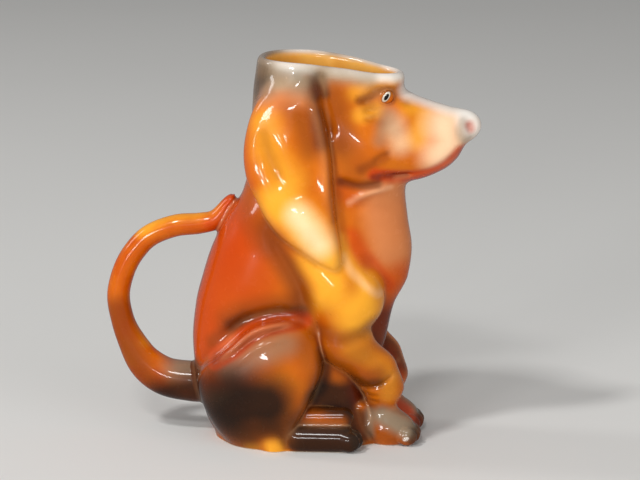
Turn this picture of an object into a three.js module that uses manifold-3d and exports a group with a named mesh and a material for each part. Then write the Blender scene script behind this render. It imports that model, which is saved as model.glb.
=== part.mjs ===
// A glazed pottery cream pitcher in the form of a sitting hound.
// The vessel is a hollow casting, open along the top of the head. Its ears, forelegs and hind feet
// are solid pieces stuck on with slip, and the tail is the handle.
// Millimetres. +X is where the nose points, +Y the hound's left, +Z up. The ground is z = 0.
import * as THREE from "three";
import { mergeVertices } from "three/addons/utils/BufferGeometryUtils.js";
import Module from "manifold-3d";

// Driving dimensions of the vessel
const RIM_HEIGHT = 130;
const RIM_DROP = 5.5;
const RUMP_REACH = 36.5;
const CHEST_REACH = 37.5;
const FLANK_HALF = 22.5;
const WALL = 3.2;
const FLOOR = 4;
const FLOOR_ROUNDING = 8;
const FOOT_RING = 4.5;
const FOOT_RECESS = 1.2;
const SEAM = 0.35;
const OVERRUN = 6;
const RAY_STEP = 1;

// The trunk's outline at levels from the ground to the rim. The egg share narrows the front of a section.
const TRUNK_LEVEL_SHARES = [0, 0.05, 0.15, 0.26, 0.35, 0.43, 0.5, 0.58, 0.65, 0.73, 0.81, 0.91, 1];
const BACK_SHARES = [0.79, 0.87, 0.965, 1, 0.965, 0.89, 0.81, 0.67, 0.52, 0.455, 0.44, 0.42, 0.385];
const FRONT_SHARES = [0.82, 0.74, 0.69, 0.77, 0.84, 0.97, 1, 0.96, 0.93, 0.9, 0.9, 0.92, 0.93];
const FLANK_SHARES = [0.95, 0.95, 0.9, 0.86, 0.88, 0.94, 0.95, 0.88, 0.8, 0.79, 0.82, 0.84, 0.8];
const EGG_SHARES = [0.12, 0.14, 0.22, 0.3, 0.32, 0.3, 0.26, 0.22, 0.2, 0.18, 0.18, 0.22, 0.26];
const SECTION_POWER = 2.25;

// The rim's line in the side view, from the nape to the brow
const RIM_PLACE_SHARES = [0, 0.25, 0.5, 0.7, 0.85, 1];
const RIM_DROP_SHARES = [0, 0.01, 0.12, 0.42, 0.8, 1];

// Haunch: a tilted egg on each flank, cut to an outline that gives it a crest along its top
const HAUNCH_HALF_LENGTH = 24;
const HAUNCH_HALF_WIDTH = 15.4;
const HAUNCH_HALF_HEIGHT = 29.5;
const HAUNCH_BEHIND = 9;
const HAUNCH_RISE = 22;
const HAUNCH_SINK = 8.4;
const HAUNCH_TILT_DEG = 20;
const HAUNCH_BLEND = 3.6;
const HAUNCH_EDGE = 4.6;
const HAUNCH_LINE_STEPS = 60;

// The outline's places, as shares of the half length and of the half height from the egg's middle
const HAUNCH_LINE_FORWARD_SHARES = [
  -0.94, -0.6, -0.33, -0.02, 0.44, 0.59, 0.71, 0.767, 0.72, 0.62, 0.4, 0.33, -1.1, -1.3,
];
const HAUNCH_LINE_RISE_SHARES = [
  0.135, 0.353, 0.563, 0.71, 0.76, 0.69, 0.556, 0.3, 0.04, -0.15, -0.51, -1.02, -1.02, -0.5,
];

// Shoulder blade: a raised mass that runs down and forward from the nape to the shoulder
const BLADE_RUN = 19;
const BLADE_DROP = 20;
const BLADE_TOP_RADIUS = 9;
const BLADE_FOOT_RADIUS = 11;
const BLADE_SINK = 6.5;
const BLADE_LEAD = 4;
const BLADE_LIFT = 4.5;
const BLADE_BLEND = 5;

// Muzzle: sections from inside the skull to the nose
const MUZZLE_BURIAL = 25.5;
const MUZZLE_LENGTH = 19.5;
const BROW_DROP = 4;
const MUZZLE_DEPTH = 33;
const MUZZLE_HALF_WIDTH = 17.5;
const MUZZLE_LEVEL_SHARES = [0, 0.25, 0.5, 0.62, 0.76, 0.9, 1];
const MUZZLE_TOP_SHARES = [-0.07, -0.035, 0, 0.09, 0.18, 0.24, 0.27];
const MUZZLE_JAW_SHARES = [1, 1.01, 0.99, 0.96, 0.885, 0.765, 0.64];
const MUZZLE_SIDE_SHARES = [1, 0.97, 0.84, 0.74, 0.66, 0.57, 0.5];
const MUZZLE_EGG_SHARES = [0, 0.04, 0.16, 0.22, 0.24, 0.2, 0.16];
const MUZZLE_ROUNDING = 9;
const NOSE_SETBACK = 2.2;
const NOSE_DROP = 13.7;
const NOSE_HALF_LENGTH = 6;
const NOSE_HALF_WIDTH = 5.6;
const NOSE_HALF_HEIGHT = 5.2;
const NOSE_BLEND = 3;
const CHEEK_SETBACK = 13.5;
const CHEEK_LIFT = 11.5;
const CHEEK_RADIUS = 13;
const CHEEK_SINK = 12.5;
const CHEEK_BLEND = 8;
const SOCKET_SETBACK = 6.5;
const SOCKET_DROP = 5;
const SOCKET_RADIUS = 5.5;
const SOCKET_DEPTH = 2.4;
const SOCKET_BLEND = 3;

// Ear: a long flap that hangs from the rim to just above the shoulder, with sections from its tip to its root
const EAR_TOP_DROP = 2.5;
const EAR_TIP_LIFT = 8.3;
const EAR_BACK_REACH = 16.5;
const EAR_FRONT_REACH = 15.2;
const EAR_RELIEF = 5.6;
const EAR_BURIAL = 10;
const EAR_LEVEL_SHARES = [0, 0.09, 0.165, 0.28, 0.375, 0.5, 0.62, 0.75, 0.89, 1];
const EAR_BACK_SHARES = [-0.6, -0.3, 0.18, 0.6, 0.83, 0.97, 1, 0.9, 0.62, 0.15];
const EAR_FRONT_SHARES = [0.93, 1, 1, 0.94, 0.9, 0.83, 0.76, 0.63, 0.45, 0.44];
const EAR_RELIEF_SHARES = [0.55, 0.75, 0.85, 0.95, 1, 1.1, 1.15, 1.05, 0.8, 0.5];
const EAR_POWER = 2.8;

// Foreleg: shoulder ball, a forearm that slants down and forward, wrist, pastern and paw
const SHOULDER_SETBACK = 21;
const SHOULDER_RISE = 50.2;
const SHOULDER_RADIUS = 12.8;
const SHOULDER_RELIEF = 3;
const UPPER_ARM_RADIUS = 10;
const ELBOW_SETBACK = 21;
const ELBOW_RISE = 35.6;
const ELBOW_RADIUS = 8;
const ELBOW_INSET = 2.4;
const FOREARM_END_SETBACK = 11.2;
const FOREARM_END_RISE = 25.2;
const FOREARM_END_RADIUS = 6.7;
const FOREARM_END_SPREAD = 1.8;
const WRIST_SETBACK = 8.6;
const WRIST_RISE = 19.3;
const WRIST_RADIUS = 6.2;
const WRIST_SPREAD = 0.7;
const ANKLE_SETBACK = 9.4;
const ANKLE_RISE = 12.4;
const ANKLE_RADIUS = 3.9;
const STANCE_HALF = 8.5;
const PAW_SETBACK = 6.7;
const PAW_RISE = 4.8;
const PAW_ROOT_RADIUS = 5.2;
const PAW_HALF_LENGTH = 9.7;
const PAW_HALF_WIDTH = 6.7;
const PAW_HALF_HEIGHT = 6.4;
const LEG_BLEND = 3;

// Hind foot: a low roll from heel to toes beside the belly, with the hock's roll on top of it
const HEEL_BEHIND = 8;
const HEEL_RISE = 4.6;
const HEEL_RADIUS = 5.4;
const TOES_FORWARD = 16.6;
const TOES_RISE = 4.8;
const TOES_RADIUS = 5.6;
const FOOT_INSET = 1.5;
const HOCK_BEHIND = 2;
const HOCK_FORWARD = 14.6;
const HOCK_LIFT = 6.3;
const HOCK_INSET = 1.6;
const HOCK_BACK_RADIUS = 3.7;
const HOCK_FRONT_RADIUS = 3.3;
const HOCK_BLEND = 1.2;

// Tail handle: oval sections along a loop that stands off the back by shares of its bow
const HANDLE_BOW = 27.5;
const HANDLE_TIP_RISE = 82;
const HANDLE_ROOT_RISE = 17;
const HANDLE_HALF_THICK = 3.7;
const HANDLE_HALF_WIDTH = 4.4;
const HANDLE_BOW_SHARES = [
  0.077, 0.084, 0.113, 0.288, 0.566, 0.814, 0.938, 1, 0.989, 0.898, 0.788, 0.639, 0.409, 0.091, -0.27,
];
const HANDLE_RISE_SHARES = [
  1, 0.95, 0.87, 0.845, 0.83, 0.777, 0.692, 0.588, 0.457, 0.326, 0.215, 0.095, 0.022, 0, 0,
];
const HANDLE_PLACE_SHARES = [0, 0.1, 0.22, 0.62, 0.85, 1];
const HANDLE_THICK_SHARES = [0.62, 0.9, 1, 1.05, 1.75, 2];

// Facet counts
const TRUNK_RAYS = 56;
const TRUNK_STEPS = 44;
const RIM_STEPS = 24;
const CAVITY_RAYS = 36;
const CAVITY_STEPS = 24;
const MUZZLE_RAYS = 28;
const MUZZLE_STEPS = 16;
const MUZZLE_HOLLOW_STEPS = 10;
const EAR_RAYS = 26;
const EAR_STEPS = 20;
const LEG_RAYS = 22;
const LEG_STEPS = 22;
const FOOT_RAYS = 22;
const FOOT_STEPS = 12;
const HANDLE_RAYS = 16;
const HANDLE_STEPS = 40;

// A smooth curve through values at rising places, which never overshoots them
function curveThrough(places, values) {
  const slopes = places.map((_, i) => {
    if (i === 0 || i === places.length - 1) return 0;
    const before = (values[i] - values[i - 1]) / (places[i] - places[i - 1]);
    const after = (values[i + 1] - values[i]) / (places[i + 1] - places[i]);
    return before * after <= 0 ? 0 : (2 * before * after) / (before + after);
  });
  return (place) => {
    const clamped = THREE.MathUtils.clamp(place, places[0], places.at(-1));
    const i = Math.max(1, places.findIndex((p) => p >= clamped));
    const span = places[i] - places[i - 1];
    const t = (clamped - places[i - 1]) / span;
    return (
      values[i - 1] * (1 + 2 * t) * (1 - t) ** 2 +
      slopes[i - 1] * span * t * (1 - t) ** 2 +
      values[i] * t * t * (3 - 2 * t) -
      slopes[i] * span * t * t * (1 - t)
    );
  };
}

// Clay: signed fields in millimetres, below zero inside the clay
const join = (a, b, blend) => Math.min(a, b) - (Math.max(blend - Math.abs(a - b), 0) ** 2 / blend) / 4;
const trim = (a, b, blend) => -join(-a, -b, blend);

function egg(p, centre, half) {
  const scaled = new THREE.Vector3().subVectors(p, centre).divide(half);
  const length = scaled.length();
  return (length * (length - 1)) / Math.max(scaled.divide(half).length(), 1 / half.length());
}

function limb(p, from, to, fromRadius, toRadius) {
  const run = new THREE.Vector3().subVectors(to, from);
  const along = new THREE.Vector3().subVectors(p, from);
  const share = THREE.MathUtils.clamp(along.dot(run) / run.lengthSq(), 0, 1);
  return along.addScaledVector(run, -share).length() - THREE.MathUtils.lerp(fromRadius, toRadius, share);
}

// A section bounded by low and high on one axis and by side on the other, narrowed towards high by narrowing
function section(a, b, low, high, side, narrowing, power) {
  const half = (high - low) / 2;
  const u = (a - (low + high) / 2) / half;
  const width = side * (1 - narrowing * THREE.MathUtils.clamp(u, -1, 1));
  const v = b / width;
  const radius = Math.max((Math.abs(u) ** power + Math.abs(v) ** power) ** (1 / power), 0.05);
  const steepness = (share, size) => (Math.abs(share) / radius) ** (power - 1) / size;
  return (radius - 1) / Math.hypot(steepness(u, half), steepness(v, width));
}

// Signed distance in the side view to a smooth closed outline
function outlined(corners, steps) {
  const path = new THREE.SplineCurve([...corners, corners[0]]).getPoints(steps);
  const edges = path.slice(1).map((to, i) => ({ from: path[i], run: to.clone().sub(path[i]) }));
  return (x, z) => {
    let nearest = Infinity;
    let inside = false;
    for (const { from, run } of edges) {
      const [dx, dz] = [x - from.x, z - from.y];
      const share = THREE.MathUtils.clamp((dx * run.x + dz * run.y) / run.lengthSq(), 0, 1);
      nearest = Math.min(nearest, Math.hypot(dx - share * run.x, dz - share * run.y));
      const crosses = (dz < 0) !== (dz < run.y);
      if (crosses && dx < (dz / run.y) * run.x) inside = !inside;
    }
    return inside ? -nearest : nearest;
  };
}

const scaledBy = (shares, size) => shares.map((share) => share * size);
const trunkLevels = scaledBy(TRUNK_LEVEL_SHARES, RIM_HEIGHT);
const backLine = curveThrough(trunkLevels, scaledBy(BACK_SHARES, -RUMP_REACH));
const frontLine = curveThrough(trunkLevels, scaledBy(FRONT_SHARES, CHEST_REACH));
const flankLine = curveThrough(trunkLevels, scaledBy(FLANK_SHARES, FLANK_HALF));
const eggLine = curveThrough(trunkLevels, EGG_SHARES);
const trunkMiddle = (z) => (backLine(z) + frontLine(z)) / 2;

function trunkClay(p) {
  return section(p.x, p.y, backLine(p.z), frontLine(p.z), flankLine(p.z), eggLine(p.z), SECTION_POWER);
}

const haunchLine = outlined(
  HAUNCH_LINE_FORWARD_SHARES.map(
    (share, i) =>
      new THREE.Vector2(
        share * HAUNCH_HALF_LENGTH - HAUNCH_BEHIND,
        HAUNCH_LINE_RISE_SHARES[i] * HAUNCH_HALF_HEIGHT + HAUNCH_RISE,
      ),
  ),
  HAUNCH_LINE_STEPS,
);

function haunchClay(p) {
  const centre = new THREE.Vector3(-HAUNCH_BEHIND, FLANK_HALF - HAUNCH_SINK, HAUNCH_RISE);
  const turned = new THREE.Vector3(p.x, Math.abs(p.y), p.z).sub(centre);
  turned.applyAxisAngle(new THREE.Vector3(0, 1, 0), THREE.MathUtils.degToRad(HAUNCH_TILT_DEG));
  const half = new THREE.Vector3(HAUNCH_HALF_LENGTH, HAUNCH_HALF_WIDTH, HAUNCH_HALF_HEIGHT);
  return trim(egg(turned, new THREE.Vector3(), half), haunchLine(p.x, p.z), HAUNCH_EDGE);
}

const onFlank = (x, z, sink) => new THREE.Vector3(x, flankLine(z) - sink, z);
const shoulderForward = CHEST_REACH - SHOULDER_SETBACK;
const bladeFoot = onFlank(shoulderForward - BLADE_LEAD, SHOULDER_RISE + BLADE_LIFT, BLADE_SINK);
const bladeTop = onFlank(bladeFoot.x - BLADE_RUN, bladeFoot.z + BLADE_DROP, BLADE_SINK);

function bladeClay(p) {
  const left = new THREE.Vector3(p.x, Math.abs(p.y), p.z);
  return limb(left, bladeTop, bladeFoot, BLADE_TOP_RADIUS, BLADE_FOOT_RADIUS);
}

const browForward = CHEST_REACH;
const browRise = RIM_HEIGHT - RIM_DROP - BROW_DROP;
const cheek = onFlank(browForward - CHEEK_SETBACK, browRise - MUZZLE_DEPTH + CHEEK_LIFT, CHEEK_SINK);

function cheekClay(p) {
  return new THREE.Vector3(p.x, Math.abs(p.y), p.z).distanceTo(cheek) - CHEEK_RADIUS;
}

function torsoClay(p) {
  const head = join(trunkClay(p), cheekClay(p), CHEEK_BLEND);
  return join(join(head, haunchClay(p), HAUNCH_BLEND), bladeClay(p), BLADE_BLEND);
}

const muzzleRoot = browForward - MUZZLE_BURIAL;
const muzzleReach = browForward + MUZZLE_LENGTH;
const muzzleLevels = MUZZLE_LEVEL_SHARES.map((share) => THREE.MathUtils.lerp(muzzleRoot, muzzleReach, share));
const belowBrow = (shares) => shares.map((share) => browRise - share * MUZZLE_DEPTH);
const muzzleTop = curveThrough(muzzleLevels, belowBrow(MUZZLE_TOP_SHARES));
const muzzleJaw = curveThrough(muzzleLevels, belowBrow(MUZZLE_JAW_SHARES));
const muzzleSide = curveThrough(muzzleLevels, scaledBy(MUZZLE_SIDE_SHARES, MUZZLE_HALF_WIDTH));
const muzzleEgg = curveThrough(muzzleLevels, MUZZLE_EGG_SHARES);
const muzzleMiddle = (x) => (muzzleTop(x) + muzzleJaw(x)) / 2;
const nose = new THREE.Vector3(muzzleReach - NOSE_SETBACK, 0, browRise - NOSE_DROP);
const noseHalf = new THREE.Vector3(NOSE_HALF_LENGTH, NOSE_HALF_WIDTH, NOSE_HALF_HEIGHT);

function muzzleClay(p) {
  const [jaw, top] = [muzzleJaw(p.x), muzzleTop(p.x)];
  const bridge = section(p.z, p.y, jaw, top, muzzleSide(p.x), muzzleEgg(p.x), SECTION_POWER);
  const ended = trim(bridge, p.x - muzzleReach, MUZZLE_ROUNDING);
  return join(ended, egg(p, nose, noseHalf), NOSE_BLEND);
}

const socket = new THREE.Vector3(
  browForward - SOCKET_SETBACK,
  MUZZLE_HALF_WIDTH - SOCKET_DEPTH + SOCKET_RADIUS,
  browRise - SOCKET_DROP,
);

function socketClay(p) {
  return new THREE.Vector3(p.x, Math.abs(p.y), p.z).distanceTo(socket) - SOCKET_RADIUS;
}

// Lofts: rings of rays that stop where they leave the clay, stacked along the X or the Z axis
const PLACE = {
  x: (along, a, b) => new THREE.Vector3(along, a, b),
  z: (along, a, b) => new THREE.Vector3(a, b, along),
};

function lastInside(inside, far, step) {
  let out = far;
  while (out > 0 && !inside(out)) out -= step;
  out = Math.max(out, 0);
  let gone = out + step;
  for (let i = 0; i < 22; i++) {
    const middle = (out + gone) / 2;
    if (inside(middle)) out = middle;
    else gone = middle;
  }
  return out;
}

const RAY_FAR = RUMP_REACH + CHEST_REACH;

// An end is flat, or a pole where the loft's middle line leaves the clay
function loft(clay, { axis, from, to, middle, rays, steps, flatFrom = false, flatTo = false }) {
  const at = PLACE[axis];
  const inside = (along) => (out) => clay(at(along + out, ...middle(along + out))) < 0;
  const core = (from + to) / 2;
  const start = flatFrom ? from : core - lastInside((out) => inside(core)(-out), core - from, RAY_STEP);
  const end = flatTo ? to : core + lastInside(inside(core), to - core, RAY_STEP);
  const spread = (t) => {
    if (flatFrom && flatTo) return t;
    if (flatFrom) return Math.sin((t * Math.PI) / 2);
    if (flatTo) return 1 - Math.cos((t * Math.PI) / 2);
    return (1 - Math.cos(t * Math.PI)) / 2;
  };
  const first = flatFrom ? 0 : 1;
  const last = flatTo ? steps : steps - 1;
  const rings = [];
  for (let i = first; i <= last; i++) {
    const along = start + spread(i / steps) * (end - start);
    const [a, b] = middle(along);
    rings.push(
      Array.from({ length: rays }, (_, k) => {
        const turn = (2 * Math.PI * k) / rays;
        const point = (out) => at(along, a + out * Math.cos(turn), b + out * Math.sin(turn));
        return point(lastInside((out) => clay(point(out)) < 0, RAY_FAR, RAY_STEP));
      }),
    );
  }
  return skinned(rings, at(start, ...middle(start)), at(end, ...middle(end)));
}

// A closed skin over rings of points, with a fan of triangles to a point at each end
function skinned(rings, startPoint, endPoint) {
  const rays = rings[0].length;
  const points = [...rings.flat(), startPoint, endPoint];
  const faces = [];
  rings.slice(1).forEach((_, i) => {
    for (let k = 0; k < rays; k++) {
      const a = i * rays + k;
      const b = i * rays + ((k + 1) % rays);
      const [c, d] = [b + rays, a + rays];
      if (points[a].distanceTo(points[c]) < points[b].distanceTo(points[d])) faces.push(a, b, c, a, c, d);
      else faces.push(a, b, d, b, c, d);
    }
  });
  const lastRing = (rings.length - 1) * rays;
  for (let k = 0; k < rays; k++) {
    const next = (k + 1) % rays;
    faces.push(next, k, points.length - 2);
    faces.push(lastRing + k, lastRing + next, points.length - 1);
  }
  return new THREE.BufferGeometry().setFromPoints(points).setIndex(faces);
}

// Solids, to join and cut
const wasm = await Module();
wasm.setup();

function solidOf(geometry) {
  const bare = geometry.clone();
  bare.deleteAttribute("normal");
  bare.deleteAttribute("uv");
  const merged = mergeVertices(bare);
  return new wasm.Manifold(
    new wasm.Mesh({
      numProp: 3,
      vertProperties: merged.attributes.position.array,
      triVerts: new Uint32Array(merged.index.array),
    }),
  );
}

function geometryOf(solid) {
  const mesh = solid.getMesh();
  const geometry = new THREE.BufferGeometry()
    .setAttribute("position", new THREE.BufferAttribute(mesh.vertProperties, 3))
    .setIndex(new THREE.BufferAttribute(mesh.triVerts, 1));
  geometry.computeVertexNormals();
  return geometry;
}

const offset = (clay, growth) => (p) => clay(p) - growth;

// The vessel
const trunkTop = RIM_HEIGHT + OVERRUN;

function trunkLoft(growth, flatFoot = 0) {
  return loft(offset(torsoClay, growth), {
    axis: "z", from: flatFoot, to: trunkTop, flatFrom: true, flatTo: true,
    middle: (z) => [trunkMiddle(z), 0], rays: TRUNK_RAYS, steps: TRUNK_STEPS,
  });
}

function muzzleLoft(growth) {
  const clay = (p) => trim(muzzleClay(p), -socketClay(p), SOCKET_BLEND) - growth;
  return loft(clay, {
    axis: "x", from: muzzleRoot, to: RAY_FAR, flatFrom: true,
    middle: (x) => [0, muzzleMiddle(x)], rays: MUZZLE_RAYS, steps: MUZZLE_STEPS,
  });
}

// Everything above the rim's line
function aboveRim() {
  const places = RIM_PLACE_SHARES.map((share) => THREE.MathUtils.lerp(-RUMP_REACH, CHEST_REACH, share));
  const rimLine = curveThrough(places, RIM_DROP_SHARES.map((share) => RIM_HEIGHT - share * RIM_DROP));
  const back = -RUMP_REACH - OVERRUN;
  const front = CHEST_REACH + OVERRUN;
  const line = Array.from({ length: RIM_STEPS + 1 }, (_, i) => {
    const x = THREE.MathUtils.lerp(back, front, i / RIM_STEPS);
    return new THREE.Vector2(x, rimLine(x));
  });
  const top = trunkTop + OVERRUN;
  const outline = [...line, new THREE.Vector2(front, top), new THREE.Vector2(back, top)];
  const depth = 2 * (FLANK_HALF + OVERRUN);
  const cutter = new THREE.ExtrudeGeometry(new THREE.Shape(outline), { depth, bevelEnabled: false });
  cutter.rotateX(Math.PI / 2);
  cutter.translate(0, depth / 2, 0);
  return solidOf(cutter);
}

function cavity() {
  const trunkHollow = loft((p) => trim(torsoClay(p) + WALL, FLOOR - p.z, FLOOR_ROUNDING), {
    axis: "z", from: 0, to: trunkTop + OVERRUN, flatTo: true,
    middle: (z) => [trunkMiddle(z), 0], rays: CAVITY_RAYS, steps: CAVITY_STEPS,
  });
  const muzzleHollow = loft((p) => muzzleClay(p) + WALL, {
    axis: "x", from: muzzleRoot, to: muzzleReach, flatFrom: true,
    middle: (x) => [0, muzzleMiddle(x)], rays: MUZZLE_RAYS, steps: MUZZLE_HOLLOW_STEPS,
  });
  return solidOf(trunkHollow).add(solidOf(muzzleHollow));
}

function footRecess() {
  return solidOf(
    loft((p) => trunkClay(p) + FOOT_RING, {
      axis: "z", from: -FOOT_RECESS, to: FOOT_RECESS, flatFrom: true, flatTo: true,
      middle: (z) => [trunkMiddle(z), 0], rays: CAVITY_RAYS, steps: 1,
    }),
  );
}

const envelope = solidOf(trunkLoft(SEAM, -OVERRUN)).add(solidOf(muzzleLoft(SEAM)));

function bodyShell() {
  return solidOf(trunkLoft(0))
    .add(solidOf(muzzleLoft(0)))
    .subtract(aboveRim())
    .subtract(cavity())
    .subtract(footRecess());
}

// How far out the vessel's flank is at a place in the side view
function sideOf(x, z) {
  return lastInside((out) => torsoClay(new THREE.Vector3(x, out, z)) < 0, RAY_FAR, RAY_STEP);
}

// Pieces stuck on. Each is made on the left, and its right-hand copy is mirrored.
const earTop = RIM_HEIGHT - EAR_TOP_DROP;
const earTip = SHOULDER_RISE + EAR_TIP_LIFT;
const earLength = earTop - earTip;
const earLevels = EAR_LEVEL_SHARES.map((share) => earTip + share * earLength);
const earBack = curveThrough(earLevels, scaledBy(EAR_BACK_SHARES, -EAR_BACK_REACH));
const earFront = curveThrough(earLevels, scaledBy(EAR_FRONT_SHARES, EAR_FRONT_REACH));
const earRelief = curveThrough(earLevels, scaledBy(EAR_RELIEF_SHARES, EAR_RELIEF));
const earMiddle = (z) => (earBack(z) + earFront(z)) / 2;
const earSeat = curveThrough(
  earLevels,
  earLevels.map((z) => sideOf(earMiddle(z), z) + earRelief(z) - EAR_BURIAL),
);

function earClay(p) {
  const leaf = section(p.x, p.y - earSeat(p.z), earBack(p.z), earFront(p.z), EAR_BURIAL, 0, EAR_POWER);
  return trim(leaf, Math.abs(p.z - earTip - earLength / 2) - earLength / 2, EAR_RELIEF);
}

function ear() {
  return solidOf(
    loft(earClay, {
      axis: "z", from: earTip, to: earTop,
      middle: (z) => [earMiddle(z), earSeat(z)], rays: EAR_RAYS, steps: EAR_STEPS,
    }),
  ).subtract(envelope);
}

const shoulderSide = sideOf(shoulderForward, SHOULDER_RISE) + SHOULDER_RELIEF - SHOULDER_RADIUS;
const elbowSide = shoulderSide + SHOULDER_RADIUS - ELBOW_RADIUS - ELBOW_INSET;
const legPoints = {
  shoulder: new THREE.Vector3(shoulderForward, shoulderSide, SHOULDER_RISE),
  elbow: new THREE.Vector3(CHEST_REACH - ELBOW_SETBACK, elbowSide, ELBOW_RISE),
  forearmEnd: new THREE.Vector3(
    CHEST_REACH - FOREARM_END_SETBACK,
    STANCE_HALF + FOREARM_END_SPREAD,
    FOREARM_END_RISE,
  ),
  wrist: new THREE.Vector3(CHEST_REACH - WRIST_SETBACK, STANCE_HALF + WRIST_SPREAD, WRIST_RISE),
  ankle: new THREE.Vector3(CHEST_REACH - ANKLE_SETBACK, STANCE_HALF, ANKLE_RISE),
  paw: new THREE.Vector3(CHEST_REACH - PAW_SETBACK, STANCE_HALF, PAW_RISE),
};

// A leg stays on its own side of the middle, with half a seam to it
function legClay(p) {
  const { shoulder, elbow, forearmEnd, wrist, ankle, paw } = legPoints;
  const leg = [
    p.distanceTo(shoulder) - SHOULDER_RADIUS,
    limb(p, shoulder, elbow, UPPER_ARM_RADIUS, ELBOW_RADIUS),
    limb(p, elbow, forearmEnd, ELBOW_RADIUS, FOREARM_END_RADIUS),
    limb(p, forearmEnd, wrist, WRIST_RADIUS, WRIST_RADIUS),
    limb(p, wrist, ankle, WRIST_RADIUS, ANKLE_RADIUS),
    limb(p, ankle, paw, ANKLE_RADIUS, PAW_ROOT_RADIUS),
    egg(p, paw, new THREE.Vector3(PAW_HALF_LENGTH, PAW_HALF_WIDTH, PAW_HALF_HEIGHT)),
  ].reduce((whole, bone) => join(whole, bone, LEG_BLEND));
  return Math.max(leg, SEAM / 2 - p.y);
}

function foreleg() {
  const { shoulder, elbow, forearmEnd, wrist, ankle, paw } = legPoints;
  const stops = [paw, ankle, wrist, forearmEnd, elbow, shoulder];
  const rises = stops.map((stop) => stop.z);
  const forward = curveThrough(rises, stops.map((stop) => stop.x));
  const aside = curveThrough(rises, stops.map((stop) => stop.y));
  return solidOf(
    loft(legClay, {
      axis: "z", from: 0, to: SHOULDER_RISE + 2 * SHOULDER_RADIUS, flatFrom: true,
      middle: (z) => [forward(z), aside(z)], rays: LEG_RAYS, steps: LEG_STEPS,
    }),
  ).subtract(envelope);
}

const footSide = FLANK_HALF - FOOT_INSET;

function hindFoot() {
  const heel = new THREE.Vector3(-HEEL_BEHIND, footSide, HEEL_RISE);
  const toes = new THREE.Vector3(TOES_FORWARD, footSide, TOES_RISE);
  const hockBack = new THREE.Vector3(-HOCK_BEHIND, footSide - HOCK_INSET, HEEL_RISE + HOCK_LIFT);
  const hockFront = new THREE.Vector3(HOCK_FORWARD, footSide - HOCK_INSET, HEEL_RISE + HOCK_LIFT);
  const clay = (p) => {
    const sole = limb(p, heel, toes, HEEL_RADIUS, TOES_RADIUS);
    const hock = limb(p, hockBack, hockFront, HOCK_BACK_RADIUS, HOCK_FRONT_RADIUS);
    return Math.max(join(sole, hock, HOCK_BLEND), -p.z);
  };
  return solidOf(
    loft(clay, {
      axis: "x", from: -HEEL_BEHIND - 2 * HEEL_RADIUS, to: TOES_FORWARD + 2 * TOES_RADIUS,
      middle: () => [footSide, HEEL_RISE], rays: FOOT_RAYS, steps: FOOT_STEPS,
    }),
  ).subtract(envelope);
}

function mirrored(solid) {
  const geometry = geometryOf(solid).scale(1, -1, 1);
  const faces = geometry.index.array;
  for (let i = 0; i < faces.length; i += 3) [faces[i + 1], faces[i + 2]] = [faces[i + 2], faces[i + 1]];
  geometry.computeVertexNormals();
  return geometry;
}

// The tail: oval rings square to a curve that leaves the rump, loops up and lies against the nape
function tailHandle() {
  const spine = new THREE.CatmullRomCurve3(
    HANDLE_BOW_SHARES.map((share, i) => {
      const rise = THREE.MathUtils.lerp(HANDLE_ROOT_RISE, HANDLE_TIP_RISE, HANDLE_RISE_SHARES[i]);
      return new THREE.Vector3(backLine(rise) - share * HANDLE_BOW, 0, rise);
    }),
  );
  const side = new THREE.Vector3(0, 1, 0);
  const swell = curveThrough(HANDLE_PLACE_SHARES, HANDLE_THICK_SHARES);
  const rings = Array.from({ length: HANDLE_STEPS + 1 }, (_, i) => {
    const share = i / HANDLE_STEPS;
    const centre = spine.getPointAt(share);
    const out = new THREE.Vector3().crossVectors(spine.getTangentAt(share), side);
    return Array.from({ length: HANDLE_RAYS }, (_, k) => {
      const turn = (2 * Math.PI * k) / HANDLE_RAYS;
      return centre
        .clone()
        .addScaledVector(out, HANDLE_HALF_THICK * swell(share) * Math.cos(turn))
        .addScaledVector(side, -HANDLE_HALF_WIDTH * Math.sqrt(swell(share)) * Math.sin(turn));
    });
  });
  return solidOf(skinned(rings, spine.getPoint(0), spine.getPoint(1))).subtract(envelope);
}

// Glazes
const glaze = (color, roughness) => new THREE.MeshStandardMaterial({ color, roughness, metalness: 0 });
const GLAZES = {
  body: glaze(0xb8400f, 0.12),
  ear: glaze(0xd27a18, 0.12),
  leg: glaze(0xdf8a22, 0.12),
  foot: glaze(0x4a2412, 0.12),
  tail: glaze(0xc65a0c, 0.12),
};

function piece(name, geometry, material) {
  const mesh = new THREE.Mesh(geometry, material);
  mesh.name = name;
  return mesh;
}

const pitcher = new THREE.Group();
pitcher.add(piece("body_shell", geometryOf(bodyShell()), GLAZES.body));
pitcher.add(piece("tail_handle", geometryOf(tailHandle()), GLAZES.tail));
for (const [name, solid, material] of [
  ["ear", ear(), GLAZES.ear],
  ["foreleg", foreleg(), GLAZES.leg],
  ["hind_foot", hindFoot(), GLAZES.foot],
]) {
  pitcher.add(piece(`left_${name}`, geometryOf(solid), material));
  pitcher.add(piece(`right_${name}`, mirrored(solid), material));
}

// The origin is on the ground, under the middle of the whole pitcher
const box = new THREE.Box3().setFromObject(pitcher);
pitcher.position.x = -(box.min.x + box.max.x) / 2;

export default pitcher;
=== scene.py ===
"""A glazed pottery cream pitcher in the form of a sitting hound.

Each part of the clay is a field in millimetres that is below zero inside it. The parts are joined with the
small fillets that slip and glaze leave, cut into one closed mesh a part, and dressed in airbrushed colours,
some of which are painted shade and highlights, under a clear gloss glaze. The tail, which is the handle, is
swept along its loop with Geometry Nodes.
"""
import logging
import math
from dataclasses import dataclass, field, replace
from enum import Enum
from typing import Callable

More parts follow.
